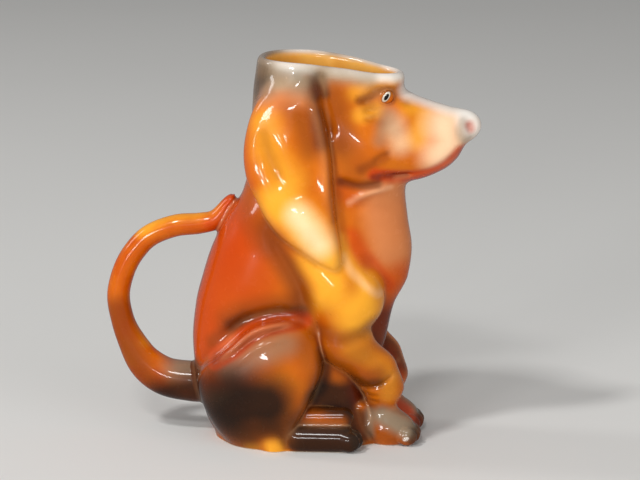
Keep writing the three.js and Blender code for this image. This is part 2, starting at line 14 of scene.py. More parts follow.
import bpy
import numpy as np
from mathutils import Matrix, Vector


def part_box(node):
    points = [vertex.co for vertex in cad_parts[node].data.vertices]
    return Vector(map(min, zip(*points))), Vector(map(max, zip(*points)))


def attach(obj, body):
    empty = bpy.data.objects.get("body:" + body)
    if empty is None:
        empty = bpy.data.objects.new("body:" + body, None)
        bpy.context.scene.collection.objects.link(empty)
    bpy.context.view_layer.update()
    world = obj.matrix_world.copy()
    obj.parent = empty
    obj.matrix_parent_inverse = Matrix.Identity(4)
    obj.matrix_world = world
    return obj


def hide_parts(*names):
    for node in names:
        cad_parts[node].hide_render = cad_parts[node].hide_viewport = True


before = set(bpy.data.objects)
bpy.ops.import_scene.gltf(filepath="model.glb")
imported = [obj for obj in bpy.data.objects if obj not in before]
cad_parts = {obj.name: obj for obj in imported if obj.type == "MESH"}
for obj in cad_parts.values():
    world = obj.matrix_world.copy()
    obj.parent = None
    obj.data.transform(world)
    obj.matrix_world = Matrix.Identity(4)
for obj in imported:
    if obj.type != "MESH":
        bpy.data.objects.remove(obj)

Array = np.ndarray
Place = tuple[float, float]
Point = tuple[float, float, float]
METRES = 0.001
LOT = 200000
LEAST_SHARE = 0.01

log = logging.getLogger("pitcher")


# Clay: fields in millimetres


def join(a: Array, b: Array, blend: float) -> Array:
    """Joins two fields with a fillet about as wide as blend."""
    return np.minimum(a, b) - np.maximum(blend - np.abs(a - b), 0) ** 2 / blend / 4


def trim(a: Array, b: Array, blend: float) -> Array:
    """Keeps what is inside both fields, with an edge rounded by blend."""
    return -join(-a, -b, blend)


def smooth(t: Array) -> Array:
    """Eases from 0 to 1 as t goes from 0 to 1."""
    t = np.clip(t, 0, 1)
    return t * t * (3 - 2 * t)


def egg(p: Array, centre: Point, half: Point, tilt: float = 0.0) -> Array:
    """An ellipsoid.

    Args:
        p: Points, one a row.
        centre: Its middle.
        half: Its half sizes along X, Y and Z before it is tilted.
        tilt: Degrees that its front rises by.

    Returns:
        The field at each point.
    """
    d = p - np.array(centre)
    c, s = math.cos(math.radians(tilt)), math.sin(math.radians(tilt))
    turned = np.stack([c * d[:, 0] + s * d[:, 2], d[:, 1], c * d[:, 2] - s * d[:, 0]], axis=1)
    turned = turned / np.array(half)
    length = np.linalg.norm(turned, axis=1)
    slope = np.linalg.norm(turned / np.array(half), axis=1)
    return length * (length - 1) / np.maximum(slope, 1e-6)


def limb(p: Array, start: Point, end: Point, start_radius: float, end_radius: float) -> Array:
    """A rounded limb.

    Args:
        p: Points, one a row.
        start: One end of its middle line.
        end: The other end.
        start_radius: Its radius at the start.
        end_radius: Its radius at the end.

    Returns:
        The field at each point.
    """
    run = np.array(end) - np.array(start)
    along = p - np.array(start)
    share = np.clip(along @ run / (run @ run), 0, 1)
    radius = start_radius + share * (end_radius - start_radius)
    return np.linalg.norm(along - share[:, None] * run, axis=1) - radius


def ball(p: Array, centre: Point, radius: float) -> Array:
    """A ball's field at each point."""
    return np.linalg.norm(p - np.array(centre), axis=1) - radius


def folded(points: Array) -> Array:
    """Moves points to the side where Y is positive, because both sides are alike.

    Args:
        points: Points, one a row.

    Returns:
        The moved points.
    """
    p = points.copy()
    p[:, 1] = np.abs(p[:, 1])
    return p


def lots(points: Array) -> list[Array]:
    """Splits points into lots that are small enough to work out at once."""
    return np.array_split(points, len(points) // LOT + 1)


def section(
    a: Array, b: Array, low: Array, high: Array, side: Array, narrowing: Array, power: float
) -> Array:
    """An egg-shaped section.

    Args:
        a: Places along the section's long axis.
        b: Places across it.
        low: Where the section starts on the long axis.
        high: Where it ends.
        side: Its half width.
        narrowing: The share by which it narrows towards high.
        power: 2 for an oval, more for a squarer section.

    Returns:
        The field at each place.
    """
    half = (high - low) / 2
    lean = (a - (low + high) / 2) / half
    u = np.abs(lean)
    width = side * (1 - narrowing * np.clip(lean, -1, 1))
    v = np.abs(b) / width
    radius = np.maximum((u**power + v**power) ** (1 / power), 0.05)
    slope = np.hypot((u / radius) ** (power - 1) / half, (v / radius) ** (power - 1) / width)
    return (radius - 1) / slope


class Curve:
    """A smooth curve through values at rising places, which never overshoots them."""

    def __init__(self, places: Array, values: Array) -> None:
        """Fits the curve.

        Args:
            places: Rising places.
            values: The value at each place.
        """
        self.places = np.asarray(places, float)
        self.values = np.asarray(values, float)
        rise = np.diff(self.values) / np.diff(self.places)
        before, after = rise[:-1], rise[1:]
        agree = before * after > 0
        inner = np.where(agree, 2 * before * after / np.where(agree, before + after, 1), 0)
        self.slopes = np.concatenate([[0], inner, [0]])

    def __call__(self, place: Array) -> Array:
        """Reads the curve.

        Args:
            place: Places, which are kept within the curve's ends.

        Returns:
            The value at each place.
        """
        x = np.clip(place, self.places[0], self.places[-1])
        i = np.clip(np.searchsorted(self.places, x), 1, len(self.places) - 1)
        span = self.places[i] - self.places[i - 1]
        t = (x - self.places[i - 1]) / span
        return (
            self.values[i - 1] * (1 + 2 * t) * (1 - t) ** 2
            + self.slopes[i - 1] * span * t * (1 - t) ** 2
            + self.values[i] * t * t * (3 - 2 * t)
            - self.slopes[i] * span * t * t * (1 - t)
        )


# Shapes that are drawn in the side view, as a two-part mould gives them


def flowing(points: tuple[Place, ...], closed: bool = False, steps: int = 8) -> Array:
    """Smooths a path through points.

    Args:
        points: Places in the side view.
        closed: Whether the path returns to its first point.
        steps: Steps between two points.

    Returns:
        Places along the smooth path.
    """
    p = np.array(points, float)
    if closed:
        p = np.vstack([p[-1:], p, p[:2]])
    else:
        p = np.vstack([2 * p[0] - p[1], p, 2 * p[-1] - p[-2]])
    t = np.linspace(0, 1, steps, endpoint=False)[:, None]
    pieces = [
        0.5 * (2 * b + (c - a) * t + (2 * a - 5 * b + 4 * c - d) * t**2 + (3 * b - a - 3 * c + d) * t**3)
        for a, b, c, d in zip(p[:-3], p[1:-2], p[2:-1], p[3:])
    ]
    if not closed:
        pieces.append(p[-2:-1])
    return np.vstack(pieces)


def to_path(x: Array, z: Array, path: Array, closed: bool = False) -> tuple[Array, Array, Array]:
    """Measures from places to a path.

    Args:
        x: Places along X.
        z: Places along Z.
        path: Places on the path, one a row.
        closed: Whether the path returns to its first place.

    Returns:
        The distance, the share of the path's length at the nearest place, and whether each place is inside.
    """
    ends = np.roll(path, -1, axis=0) if closed else path[1:]
    starts = path if closed else path[:-1]
    lengths = np.linalg.norm(ends - starts, axis=1)
    before = np.concatenate([[0], np.cumsum(lengths)])
    best = np.full(x.shape, np.inf)
    share = np.zeros(x.shape)
    inside = np.zeros(x.shape, bool)
    for (ax, az), (bx, bz), length, start in zip(starts, ends, lengths, before):
        if length == 0:
            continue
        t = np.clip(((x - ax) * (bx - ax) + (z - az) * (bz - az)) / length**2, 0, 1)
        d = np.hypot(x - ax - t * (bx - ax), z - az - t * (bz - az))
        nearer = d < best
        best = np.where(nearer, d, best)
        share = np.where(nearer, (start + t * length) / before[-1], share)
        if az != bz:
            inside ^= ((az > z) != (bz > z)) & (x < ax + (z - az) / (bz - az) * (bx - ax))
    return best, share, inside


class SideMap:
    """A smooth function of the side view, worked out once on a grid."""

    STEP = 0.5
    LOW = (-72.0, -10.0)
    HIGH = (68.0, 142.0)

    def __init__(self, sample: Callable[[Array, Array], Array]) -> None:
        """Samples the function.

        Args:
            sample: Gives a value for each place along X and Z.
        """
        x, z = (np.arange(low, high, self.STEP) for low, high in zip(self.LOW, self.HIGH))
        grid = np.meshgrid(x, z, indexing="ij")
        self.values = sample(grid[0].ravel(), grid[1].ravel()).reshape(grid[0].shape)

    def __call__(self, x: Array, z: Array) -> Array:
        """Reads the map, smoothed between the grid's places.

        Args:
            x: Places along X.
            z: Places along Z.

        Returns:
            The value at each place.
        """
        spots, weights = [], []
        for place, low, count in zip((x, z), self.LOW, self.values.shape):
            u = (place - low) / self.STEP
            i = np.clip(np.rint(u).astype(int), 1, count - 2)
            t = np.clip(u - i, -0.5, 0.5)
            spots.append(i)
            weights.append((0.5 * (0.5 - t) ** 2, 0.75 - t**2, 0.5 * (0.5 + t) ** 2))
        total = np.zeros(x.shape)
        for i in range(3):
            for j in range(3):
                total += weights[0][i] * weights[1][j] * self.values[spots[0] + i - 1, spots[1] + j - 1]
        return total


def outline(*points: Place) -> SideMap:
    """Draws a closed outline in the side view.

    Args:
        points: Places on the outline, in order.

    Returns:
        The distance to the outline, below zero inside it.
    """
    path = flowing(points, closed=True)

    def sample(x: Array, z: Array) -> Array:
        """Distance to the outline, below zero inside."""
        distance, _, inside = to_path(x, z, path, closed=True)
        return np.where(inside, -distance, distance)

    return SideMap(sample)


@dataclass(frozen=True)
class Stroke:
    """A modelling tool's stroke on a flank: a groove, or a ridge where its depth is below zero."""

    points: tuple[Place, ...]
    depth: float
    width: float
    fade: float = 0.15


def strokes(*marks: Stroke) -> SideMap:
    """Adds up strokes.

    Args:
        marks: The strokes.

    Returns:
        How deep the clay is pressed in at each place of the side view.
    """

    def sample(x: Array, z: Array) -> Array:
        """Adds up the strokes at each place.

        Args:
            x: Places along X.
            z: Places along Z.

        Returns:
            How deep the clay is pressed in.
        """
        total = np.zeros(x.shape)
        for mark in marks:
            distance, share, _ = to_path(x, z, flowing(mark.points))
            ends = smooth(share / mark.fade) * smooth((1 - share) / mark.fade)
            total += mark.depth * ends * np.exp(-((distance / mark.width) ** 2))
        return total

    return SideMap(sample)


# The parts of the hound


@dataclass
class Trunk:
    """The vessel's body from the ground to the rim: egg-shaped sections, one above the other."""

    rim_height: float = 130.0
    rim_drop: float = 5.5
    rump_reach: float = 36.5
    chest_reach: float = 37.5
    flank_half: float = 22.5
    power: float = 2.25
    levels: tuple[float, ...] = (0, 0.05, 0.15, 0.26, 0.35, 0.43, 0.5, 0.58, 0.65, 0.73, 0.81, 0.91, 1)
    back: tuple[float, ...] = (0.79, 0.87, 0.965, 1, 0.965, 0.89, 0.81, 0.67, 0.52, 0.455, 0.44, 0.42, 0.385)
    front: tuple[float, ...] = (0.82, 0.74, 0.69, 0.77, 0.84, 0.97, 1, 0.96, 0.93, 0.9, 0.9, 0.92, 0.93)
    flank: tuple[float, ...] = (0.95, 0.95, 0.9, 0.86, 0.88, 0.94, 0.95, 0.88, 0.8, 0.79, 0.82, 0.84, 0.8)
    narrowing: tuple[float, ...] = (0.12, 0.14, 0.22, 0.3, 0.32, 0.3, 0.26, 0.22, 0.2, 0.18, 0.18, 0.22, 0.26)
    rim_places: tuple[float, ...] = (0, 0.25, 0.5, 0.7, 0.85, 1)
    rim_drops: tuple[float, ...] = (0, 0.01, 0.12, 0.42, 0.8, 1)

    def __post_init__(self) -> None:
        """Fits the outlines."""
        z = np.array(self.levels) * self.rim_height
        self.back_line = Curve(z, -np.array(self.back) * self.rump_reach)
        self.front_line = Curve(z, np.array(self.front) * self.chest_reach)
        self.flank_line = Curve(z, np.array(self.flank) * self.flank_half)
        self.narrow_line = Curve(z, np.array(self.narrowing))
        x = -self.rump_reach + np.array(self.rim_places) * (self.rump_reach + self.chest_reach)
        self.rim_line = Curve(x, self.rim_height - np.array(self.rim_drops) * self.rim_drop)

    def clay(self, p: Array) -> Array:
        """The trunk.

        Args:
            p: Points, one a row.

        Returns:
            The field at each point.
        """
        x, y, z = p.T
        back, front = self.back_line(z), self.front_line(z)
        return section(x, y, back, front, self.flank_line(z), self.narrow_line(z), self.power)


@dataclass
class Head:
    """Muzzle, nose, brow, eyes, cheeks and jaw, on the trunk's upper part."""

    root: float = 12.0
    reach: float = 57.0
    brow_rise: float = 120.5
    depth: float = 33.0
    half_width: float = 17.5
    power: float = 2.25
    rounding: float = 9.0
    levels: tuple[float, ...] = (0, 0.25, 0.5, 0.62, 0.76, 0.9, 1)
    top: tuple[float, ...] = (0, 0.02, 0.07, 0.135, 0.195, 0.242, 0.27)
    jaw: tuple[float, ...] = (1, 1.01, 0.99, 0.96, 0.885, 0.765, 0.64)
    side: tuple[float, ...] = (1, 0.97, 0.84, 0.74, 0.66, 0.57, 0.5)
    narrowing: tuple[float, ...] = (0, 0.04, 0.16, 0.22, 0.24, 0.2, 0.16)
    nose: Point = (54.4, 0.0, 106.8)
    nose_half: Point = (6.0, 5.6, 5.2)
    nostril: Point = (56.8, 4.8, 107.0)
    nostril_radius: float = 1.9
    nostril_depth: float = 0.9
    nose_blend: float = 3.0
    root_edge: float = 2.0
    cheek: Point = (24.0, 5.4, 98.5)
    cheek_radius: float = 13.0
    eye: Place = (29.4, 117.2)
    eye_half: Point = (2.5, 1.7, 2.4)
    socket_radius: float = 6.5
    socket_depth: float = 1.7
    socket_shift: Place = (0.6, -0.4)
    socket_blend: float = 4.0
    eye_tilt: float = 25.0
    eye_sink: float = 0.35
    eye_blend: float = 0.5
    folds_from: float = 1.0
    folds_fade: float = 4.0

    def __post_init__(self) -> None:
        """Fits the outlines and the folds of the face."""
        x = self.root + np.array(self.levels) * (self.reach - self.root)
        self.top_line = Curve(x, self.brow_rise - np.array(self.top) * self.depth)
        self.jaw_line = Curve(x, self.brow_rise - np.array(self.jaw) * self.depth)
        self.side_line = Curve(x, np.array(self.side) * self.half_width)
        self.narrow_line = Curve(x, np.array(self.narrowing))
        self.folds = strokes(
            Stroke(((26.3, 91.6), (29.3, 92.2), (33.6, 92), (39, 92.3)), 0.7, 0.9, 0.2),
            Stroke(((30, 92.2), (36, 92.2), (42.1, 93.1), (46.2, 94.5), (52.4, 98.6)), 0.35, 0.9, 0.1),
            Stroke(((25.5, 95.6), (28, 98.2), (30.3, 99.2), (33, 99.9)), 0.7, 1.2, 0.35),
            Stroke(
                ((12, 91), (17.6, 89.2), (20.9, 88.6), (25.8, 89.2), (29.4, 90.6), (36, 90.4)),
                1.2, 1.9, 0.2,
            ),
            Stroke(
                ((20.3, 117.8), (23.9, 120.2), (27.8, 121.8), (31.7, 121.6), (35.6, 119.9)),
                -0.9, 2.0, 0.3,
            ),
            Stroke(((21, 115.2), (24, 116), (26.9, 117.2)), 0.6, 0.8, 0.4),
            Stroke(((21.4, 113.1), (24.6, 113.3), (27.6, 115)), 0.55, 0.8, 0.4),
            Stroke(((21.7, 111.1), (24.6, 110.2), (27.4, 111.4)), 0.5, 0.8, 0.4),
            Stroke(((28.8, 113), (29.6, 109.5), (29, 105)), 0.35, 2.4, 0.45),
            Stroke(((53.2, 110.5), (52.2, 107.5), (52.8, 103.5), (54.5, 101)), 0.2, 1.2, 0.3),
        )

    def muzzle(self, p: Array) -> Array:
        """The muzzle and nose.

        Args:
            p: Points, one a row.

        Returns:
            Their field, without folds.
        """
        x, y, z = p.T
        jaw, top = self.jaw_line(x), self.top_line(x)
        bridge = section(z, y, jaw, top, self.side_line(x), self.narrow_line(x), self.power)
        ended = trim(trim(bridge, x - self.reach, self.rounding), self.root - x, self.root_edge)
        return join(ended, egg(p, self.nose, self.nose_half), self.nose_blend)

    def cheeks(self, p: Array) -> Array:
        """The round of the cheek on the left side."""
        return ball(p, self.cheek, self.cheek_radius)

    def finished(self, clay: Array, p: Array, eye_side: float) -> Array:
        """Presses the eye, nostril and folds into the head.

        Args:
            clay: The head's field so far.
            p: Points, with their Y made positive.
            eye_side: How far out the flank is at the eye.

        Returns:
            The finished field.
        """
        x, y, z = p.T
        (eye_x, eye_z), (shift_x, shift_z) = self.eye, self.socket_shift
        socket = (eye_x + shift_x, eye_side + self.socket_radius - self.socket_depth, eye_z + shift_z)
        clay = trim(clay, -ball(p, socket, self.socket_radius), self.socket_blend)
        clay = clay + self.folds(x, z) * smooth((y - self.folds_from) / self.folds_fade)
        middle = (eye_x, eye_side - self.eye_half[1] - self.eye_sink, eye_z)
        clay = join(clay, egg(p, middle, self.eye_half, self.eye_tilt), self.eye_blend)
        away = np.linalg.norm(p - np.array(self.nostril), axis=1) / self.nostril_radius
        return clay + self.nostril_depth * np.exp(-(away**2))


@dataclass
class Haunches:
    """The thighs, each with a crisp crest along its top and a round knee in front."""

    centre: Point = (-9.0, 14.0, 22.0)
    half: Point = (24.0, 15.2, 29.5)
    tilt: float = 20.0
    edge: float = 3.6
    blend: float = 2.0

    def __post_init__(self) -> None:
        """Draws the thigh's outline and the strokes round it."""
        self.line = outline(
            (-31.5, 26), (-26.9, 30), (-23.5, 32.4), (-20.1, 35.5), (-17, 38.6), (-13.6, 41.2), (-9.5, 43),
            (-3.5, 44.2), (1.6, 44.4), (5.2, 42.4), (8, 38.4), (9.4, 33.2), (9.4, 28.2), (8.2, 23.2),
            (5.8, 17.6), (3, 12.4), (0.5, 7), (-1, -3), (-6, -8), (-20, -8), (-34, -6), (-40, 4), (-40, 16),
        )
        self.relief = strokes(
            Stroke(
                ((3.4, 46), (-3, 46.7), (-9.5, 45.9), (-16.5, 43.3), (-22, 38.6), (-27.5, 32.6)),
                1.3, 2.3, 0.25,
            ),
            Stroke(
                ((1.5, 43.8), (-4, 43.3), (-10.5, 42), (-15, 39.5), (-20, 34.9), (-25.5, 30.3)),
                -1.1, 1.1, 0.2,
            ),
            Stroke(((0.5, 41.4), (-5, 40.7), (-11, 38.8), (-15.5, 35.8), (-20, 31.6)), 0.8, 1.1, 0.3),
            Stroke(((2, 39.2), (-4, 38.4), (-10.5, 36.4), (-15, 33.2), (-20, 28.6)), -0.5, 1.2, 0.3),
        )

    def clay(self, p: Array) -> Array:
        """The left thigh's field."""
        x, _, z = p.T
        return trim(egg(p, self.centre, self.half, self.tilt), self.line(x, z), self.edge) + self.relief(x, z)


@dataclass
class Ear:
    """A long flap that hangs from the crown and hides the neck's side."""

    edge: float = 4.2
    blend: float = 1.1
    levels: tuple[float, ...] = (56, 60, 66, 75, 85, 95, 105, 114, 121, 125.5, 129)
    outside: tuple[float, ...] = (24.2, 25.4, 26.4, 26.6, 25.8, 25.2, 24.9, 24.2, 22.6, 20.4, 17.8)
    middle_levels: tuple[float, ...] = (58, 75, 95, 126)
    middle: tuple[float, ...] = (12, 4, -2, 1.5)
    crown: float = 1.8
    crown_half: float = 15.0
    top_edge: float = 3.0
    top_from: float = 110.0
    top_span: float = 14.0

    def __post_init__(self) -> None:
        """Draws the flap's outline and its folds."""
        self.outside_line = Curve(np.array(self.levels), np.array(self.outside))
        self.middle_line = Curve(np.array(self.middle_levels), np.array(self.middle))
        self.line = outline(
            (6.6, 125.6), (8.9, 115.6), (11, 107), (12.3, 98.4), (12.9, 89.8), (13.5, 82), (14.6, 74.9),
            (15.8, 68), (16, 63.8), (14.8, 61.4), (12.4, 61.3), (8.4, 63.4), (3.6, 66.7), (-1.1, 69.8),
            (-5.2, 73.4), (-8.8, 78), (-12, 83.8), (-14.7, 89), (-16.1, 94.5), (-16.4, 100.5),
            (-15.4, 107.2), (-13.4, 113.6), (-10.3, 119.2), (-6, 123.8), (-1.7, 127.2), (2.2, 128.4),
            (5.2, 127.8),
        )
        self.relief = strokes(
            Stroke(
                ((5.2, 124.5), (7.4, 115.6), (9.4, 107), (10.9, 98.4), (11.4, 89.8), (12, 82)),
                -0.6, 1.3, 0.15,
            ),
            Stroke(((3.4, 119.5), (4.4, 112), (6.2, 103), (7.4, 94), (7.8, 84)), 0.8, 2.8, 0.3),
            Stroke(((-9.8, 109), (-8.4, 102), (-5.4, 95), (-2, 87.5)), 1.0, 2.4, 0.4),
            Stroke(((-3.6, 110), (-2, 102), (1, 94), (4.5, 86)), -0.7, 3.0, 0.4),
            Stroke(((2, 88), (5, 78), (8.5, 70)), -0.9, 4.5, 0.4),
            Stroke(((-10.5, 98), (-7, 86), (-1, 77.5)), -0.6, 3.2, 0.4),
        )

    def clay(self, p: Array) -> Array:
        """The left flap, which runs inwards as far as the head.

        Args:
            p: Points, one a row.

        Returns:
            The flap's field.
        """
        x, y, z = p.T
        across = (x - self.middle_line(z)) / self.crown_half
        face = y - self.outside_line(z) + self.crown * across**2 + self.relief(x, z)
        edge = self.edge + self.top_edge * smooth((z - self.top_from) / self.top_span)
        return trim(face, self.line(x, z), edge)


@dataclass(frozen=True)
class Toes:
    """A row of toes, with the middle ones a little further forward."""

    middle: Point
    half: Point
    spread: float
    lead: float
    blend: float
    places: tuple[float, ...]

    def added(self, paw: Array, p: Array) -> Array:
        """Joins the toes to a paw.

        Args:
            paw: The paw's field.
            p: Points, one a row.

        Returns:
            The field of the paw with its toes.
        """
        x, y, z = self.middle
        for place in self.places:
            toe = (x + self.lead * (abs(place) < 1), y + place * self.spread, z)
            paw = join(paw, egg(p, toe, self.half), self.blend)
        return paw


@dataclass
class Foreleg:
    """Shoulder ball, a forearm that slants down and forward, wrist, pastern and paw with four toes."""

    shoulder: Point = (16.5, 11.6, 50.2)
    elbow: Point = (16.5, 14.0, 35.6)
    forearm_end: Point = (26.3, 10.3, 25.2)
    wrist: Point = (28.9, 9.2, 19.3)
    ankle: Point = (28.1, 8.5, 12.4)
    paw: Point = (30.8, 8.5, 4.8)
    shoulder_radius: float = 12.8
    radii: tuple[float, ...] = (10.0, 8.0, 6.7, 6.2, 3.9, 5.2)
    joint_blend: float = 3.0
    paw_half: Point = (8.8, 6.7, 6.4)
    heel_top: Point = (21.8, 10.6, 12.0)
    heel_foot: Point = (23.6, 9.8, 5.0)
    heel_radii: Place = (2.2, 3.0)
    heel_blend: float = 1.6
    toes: Toes = Toes((37.2, 8.5, 3.3), (3.4, 1.95, 3.0), 3.35, 0.9, 0.9, (-1.5, -0.5, 0.5, 1.5))
    blend: float = 1.6

    def __post_init__(self) -> None:
        """Draws the folds at the shoulder, elbow and wrist."""
        self.relief = strokes(
            Stroke(((12, 37.4), (17, 37.2), (22, 39), (26, 42.4), (28.4, 46)), 0.8, 2.0, 0.4),
            Stroke(((20.8, 19.9), (24.3, 20.6), (27.4, 21.3), (30.4, 23), (32.6, 25.4)), 0.9, 0.9, 0.2),
            Stroke(((22.6, 18.6), (25.4, 17.4), (28.6, 17.8)), 0.4, 0.6, 0.4),
            Stroke(((23.4, 16.6), (26.2, 15.4), (29, 15.6)), 0.35, 0.6, 0.4),
            Stroke(((18, 65.5), (22.5, 59.8), (26.8, 54), (28.8, 50.6)), -1.1, 1.8, 0.35),
            Stroke(((14.8, 62), (17.2, 58.4), (19, 55)), 0.3, 2.6, 0.4),
            Stroke(((23.6, 62.5), (27, 57.5), (29, 53)), -0.6, 1.2, 0.4),
        )

    def clay(self, p: Array) -> Array:
        """The left leg.

        Args:
            p: Points, one a row.

        Returns:
            The leg's field.
        """
        joints = (self.shoulder, self.elbow, self.forearm_end, self.wrist, self.ankle, self.paw)
        leg = ball(p, self.shoulder, self.shoulder_radius)
        for start, end, start_radius, end_radius in zip(joints, joints[1:], self.radii, self.radii[1:]):
            leg = join(leg, limb(p, start, end, start_radius, end_radius), self.joint_blend)
        leg = join(leg, egg(p, self.paw, self.paw_half), self.joint_blend)
        leg = join(leg, limb(p, self.heel_top, self.heel_foot, *self.heel_radii), self.heel_blend)
        return self.toes.added(leg + self.relief(p[:, 0], p[:, 2]), p)


@dataclass
class HindFoot:
    """A low foot beside the belly, with its heel under the thigh and three toes in front."""

    heel: Point = (-6.4, 21.0, 2.6)
    sole: Point = (-0.6, 21.0, 4.1)
    sole_end: Point = (16.2, 20.8, 4.2)
    radii: Place = (5.2, 4.9)
    heel_half: Point = (5.4, 5.5, 5.2)
    heel_blend: float = 2.0
    toes: Toes = Toes((18.8, 20.8, 3.6), (3.6, 2.1, 3.3), 3.1, 0.8, 0.8, (-1, 0, 1))
    blend: float = 1.2

    def __post_init__(self) -> None:
        """Draws the fold between heel and foot."""
        self.relief = strokes(Stroke(((-4.2, 10.0), (-2.4, 6.0), (-1.6, 0.0)), 1.1, 1.3, 0.1))

    def clay(self, p: Array) -> Array:
        """The left foot.

        Args:
            p: Points, one a row.

        Returns:
            The foot's field.
        """
        foot = limb(p, self.sole, self.sole_end, *self.radii)
        foot = join(foot, egg(p, self.heel, self.heel_half), self.heel_blend)
        return self.toes.added(foot + self.relief(p[:, 0], p[:, 2]), p)


@dataclass
class Tail:
    """The tail, curled into a loop that is the handle."""

    bow: float = 27.5
    tip_rise: float = 82.0
    root_rise: float = 17.0
    half_thick: float = 3.7
    half_width: float = 4.4
    bows: tuple[float, ...] = (
        0.077, 0.084, 0.113, 0.288, 0.566, 0.814, 0.938, 1, 0.989, 0.898, 0.788, 0.639, 0.409, 0.091, -0.06,
    )
    rises: tuple[float, ...] = (
        1, 0.95, 0.87, 0.845, 0.83, 0.777, 0.692, 0.588, 0.457, 0.326, 0.215, 0.095, 0.022, 0, 0,
    )
    places: tuple[float, ...] = (0, 0.008, 0.022, 0.045, 0.1, 0.22, 0.62, 0.85, 1)
    swells: tuple[float, ...] = (0.02, 0.34, 0.52, 0.64, 0.88, 1, 1.05, 1.75, 1.9)
    rings: int = 260
    sides: int = 56

    def spine(self, trunk: Trunk) -> Array:
        """Places along the tail's middle, from its tip to its root.

        Args:
            trunk: The trunk, whose back line the tail stands off from.

        Returns:
            Places in the side view, evenly spaced.
        """
        rise = self.root_rise + np.array(self.rises) * (self.tip_rise - self.root_rise)
        path = flowing(tuple(zip(trunk.back_line(rise) - np.array(self.bows) * self.bow, rise)), steps=24)
        run = np.concatenate([[0], np.cumsum(np.linalg.norm(np.diff(path, axis=0), axis=1))])
        even = np.linspace(0, run[-1], self.rings)
        return np.stack([np.interp(even, run, path[:, 0]), np.interp(even, run, path[:, 1])], axis=1)

    def fit(self, trunk: Trunk) -> None:
        """Maps the tail's distance and swell in the side view, for the fillets where it meets the body.

        Args:
            trunk: The trunk, whose back line the tail stands off from.
        """
        self.path = self.spine(trunk)
        swell = Curve(np.array(self.places), np.array(self.swells))
        self.path_swell = swell(np.linspace(0, 1, len(self.path)))
        sparse = self.path[::4]
        self.away = SideMap(lambda x, z: to_path(x, z, sparse)[0])
        self.swell = SideMap(lambda x, z: swell(to_path(x, z, sparse)[1]))

    def reach(self) -> float:
        """How far back the tail goes, in the clay's own coordinates."""
        return float((self.path[:, 0] - self.half_thick * self.path_swell).min())

    def clay(self, p: Array) -> Array:
        """The tail as the body's fillets see it.

        Args:
            p: Points, one a row.

        Returns:
            The tail's field, good near its two ends.
        """
        x, y, z = p.T
        swell = self.swell(x, z)
        thick, wide = self.half_thick * swell, self.half_width * np.sqrt(swell)
        u, v = self.away(x, z) / thick, y / wide
        length = np.hypot(u, v)
        return length * (length - 1) / np.maximum(np.hypot(u / thick, v / wide), 1e-6)


class Part(Enum):
    """The labels of the closed pieces. A right part's label is one more than its left's."""

    OUTSIDE = 0
    BODY = 1
    LEFT_EAR = 3
    RIGHT_EAR = 4
    LEFT_FORELEG = 5
    RIGHT_FORELEG = 6
    LEFT_HIND_FOOT = 7
    RIGHT_HIND_FOOT = 8


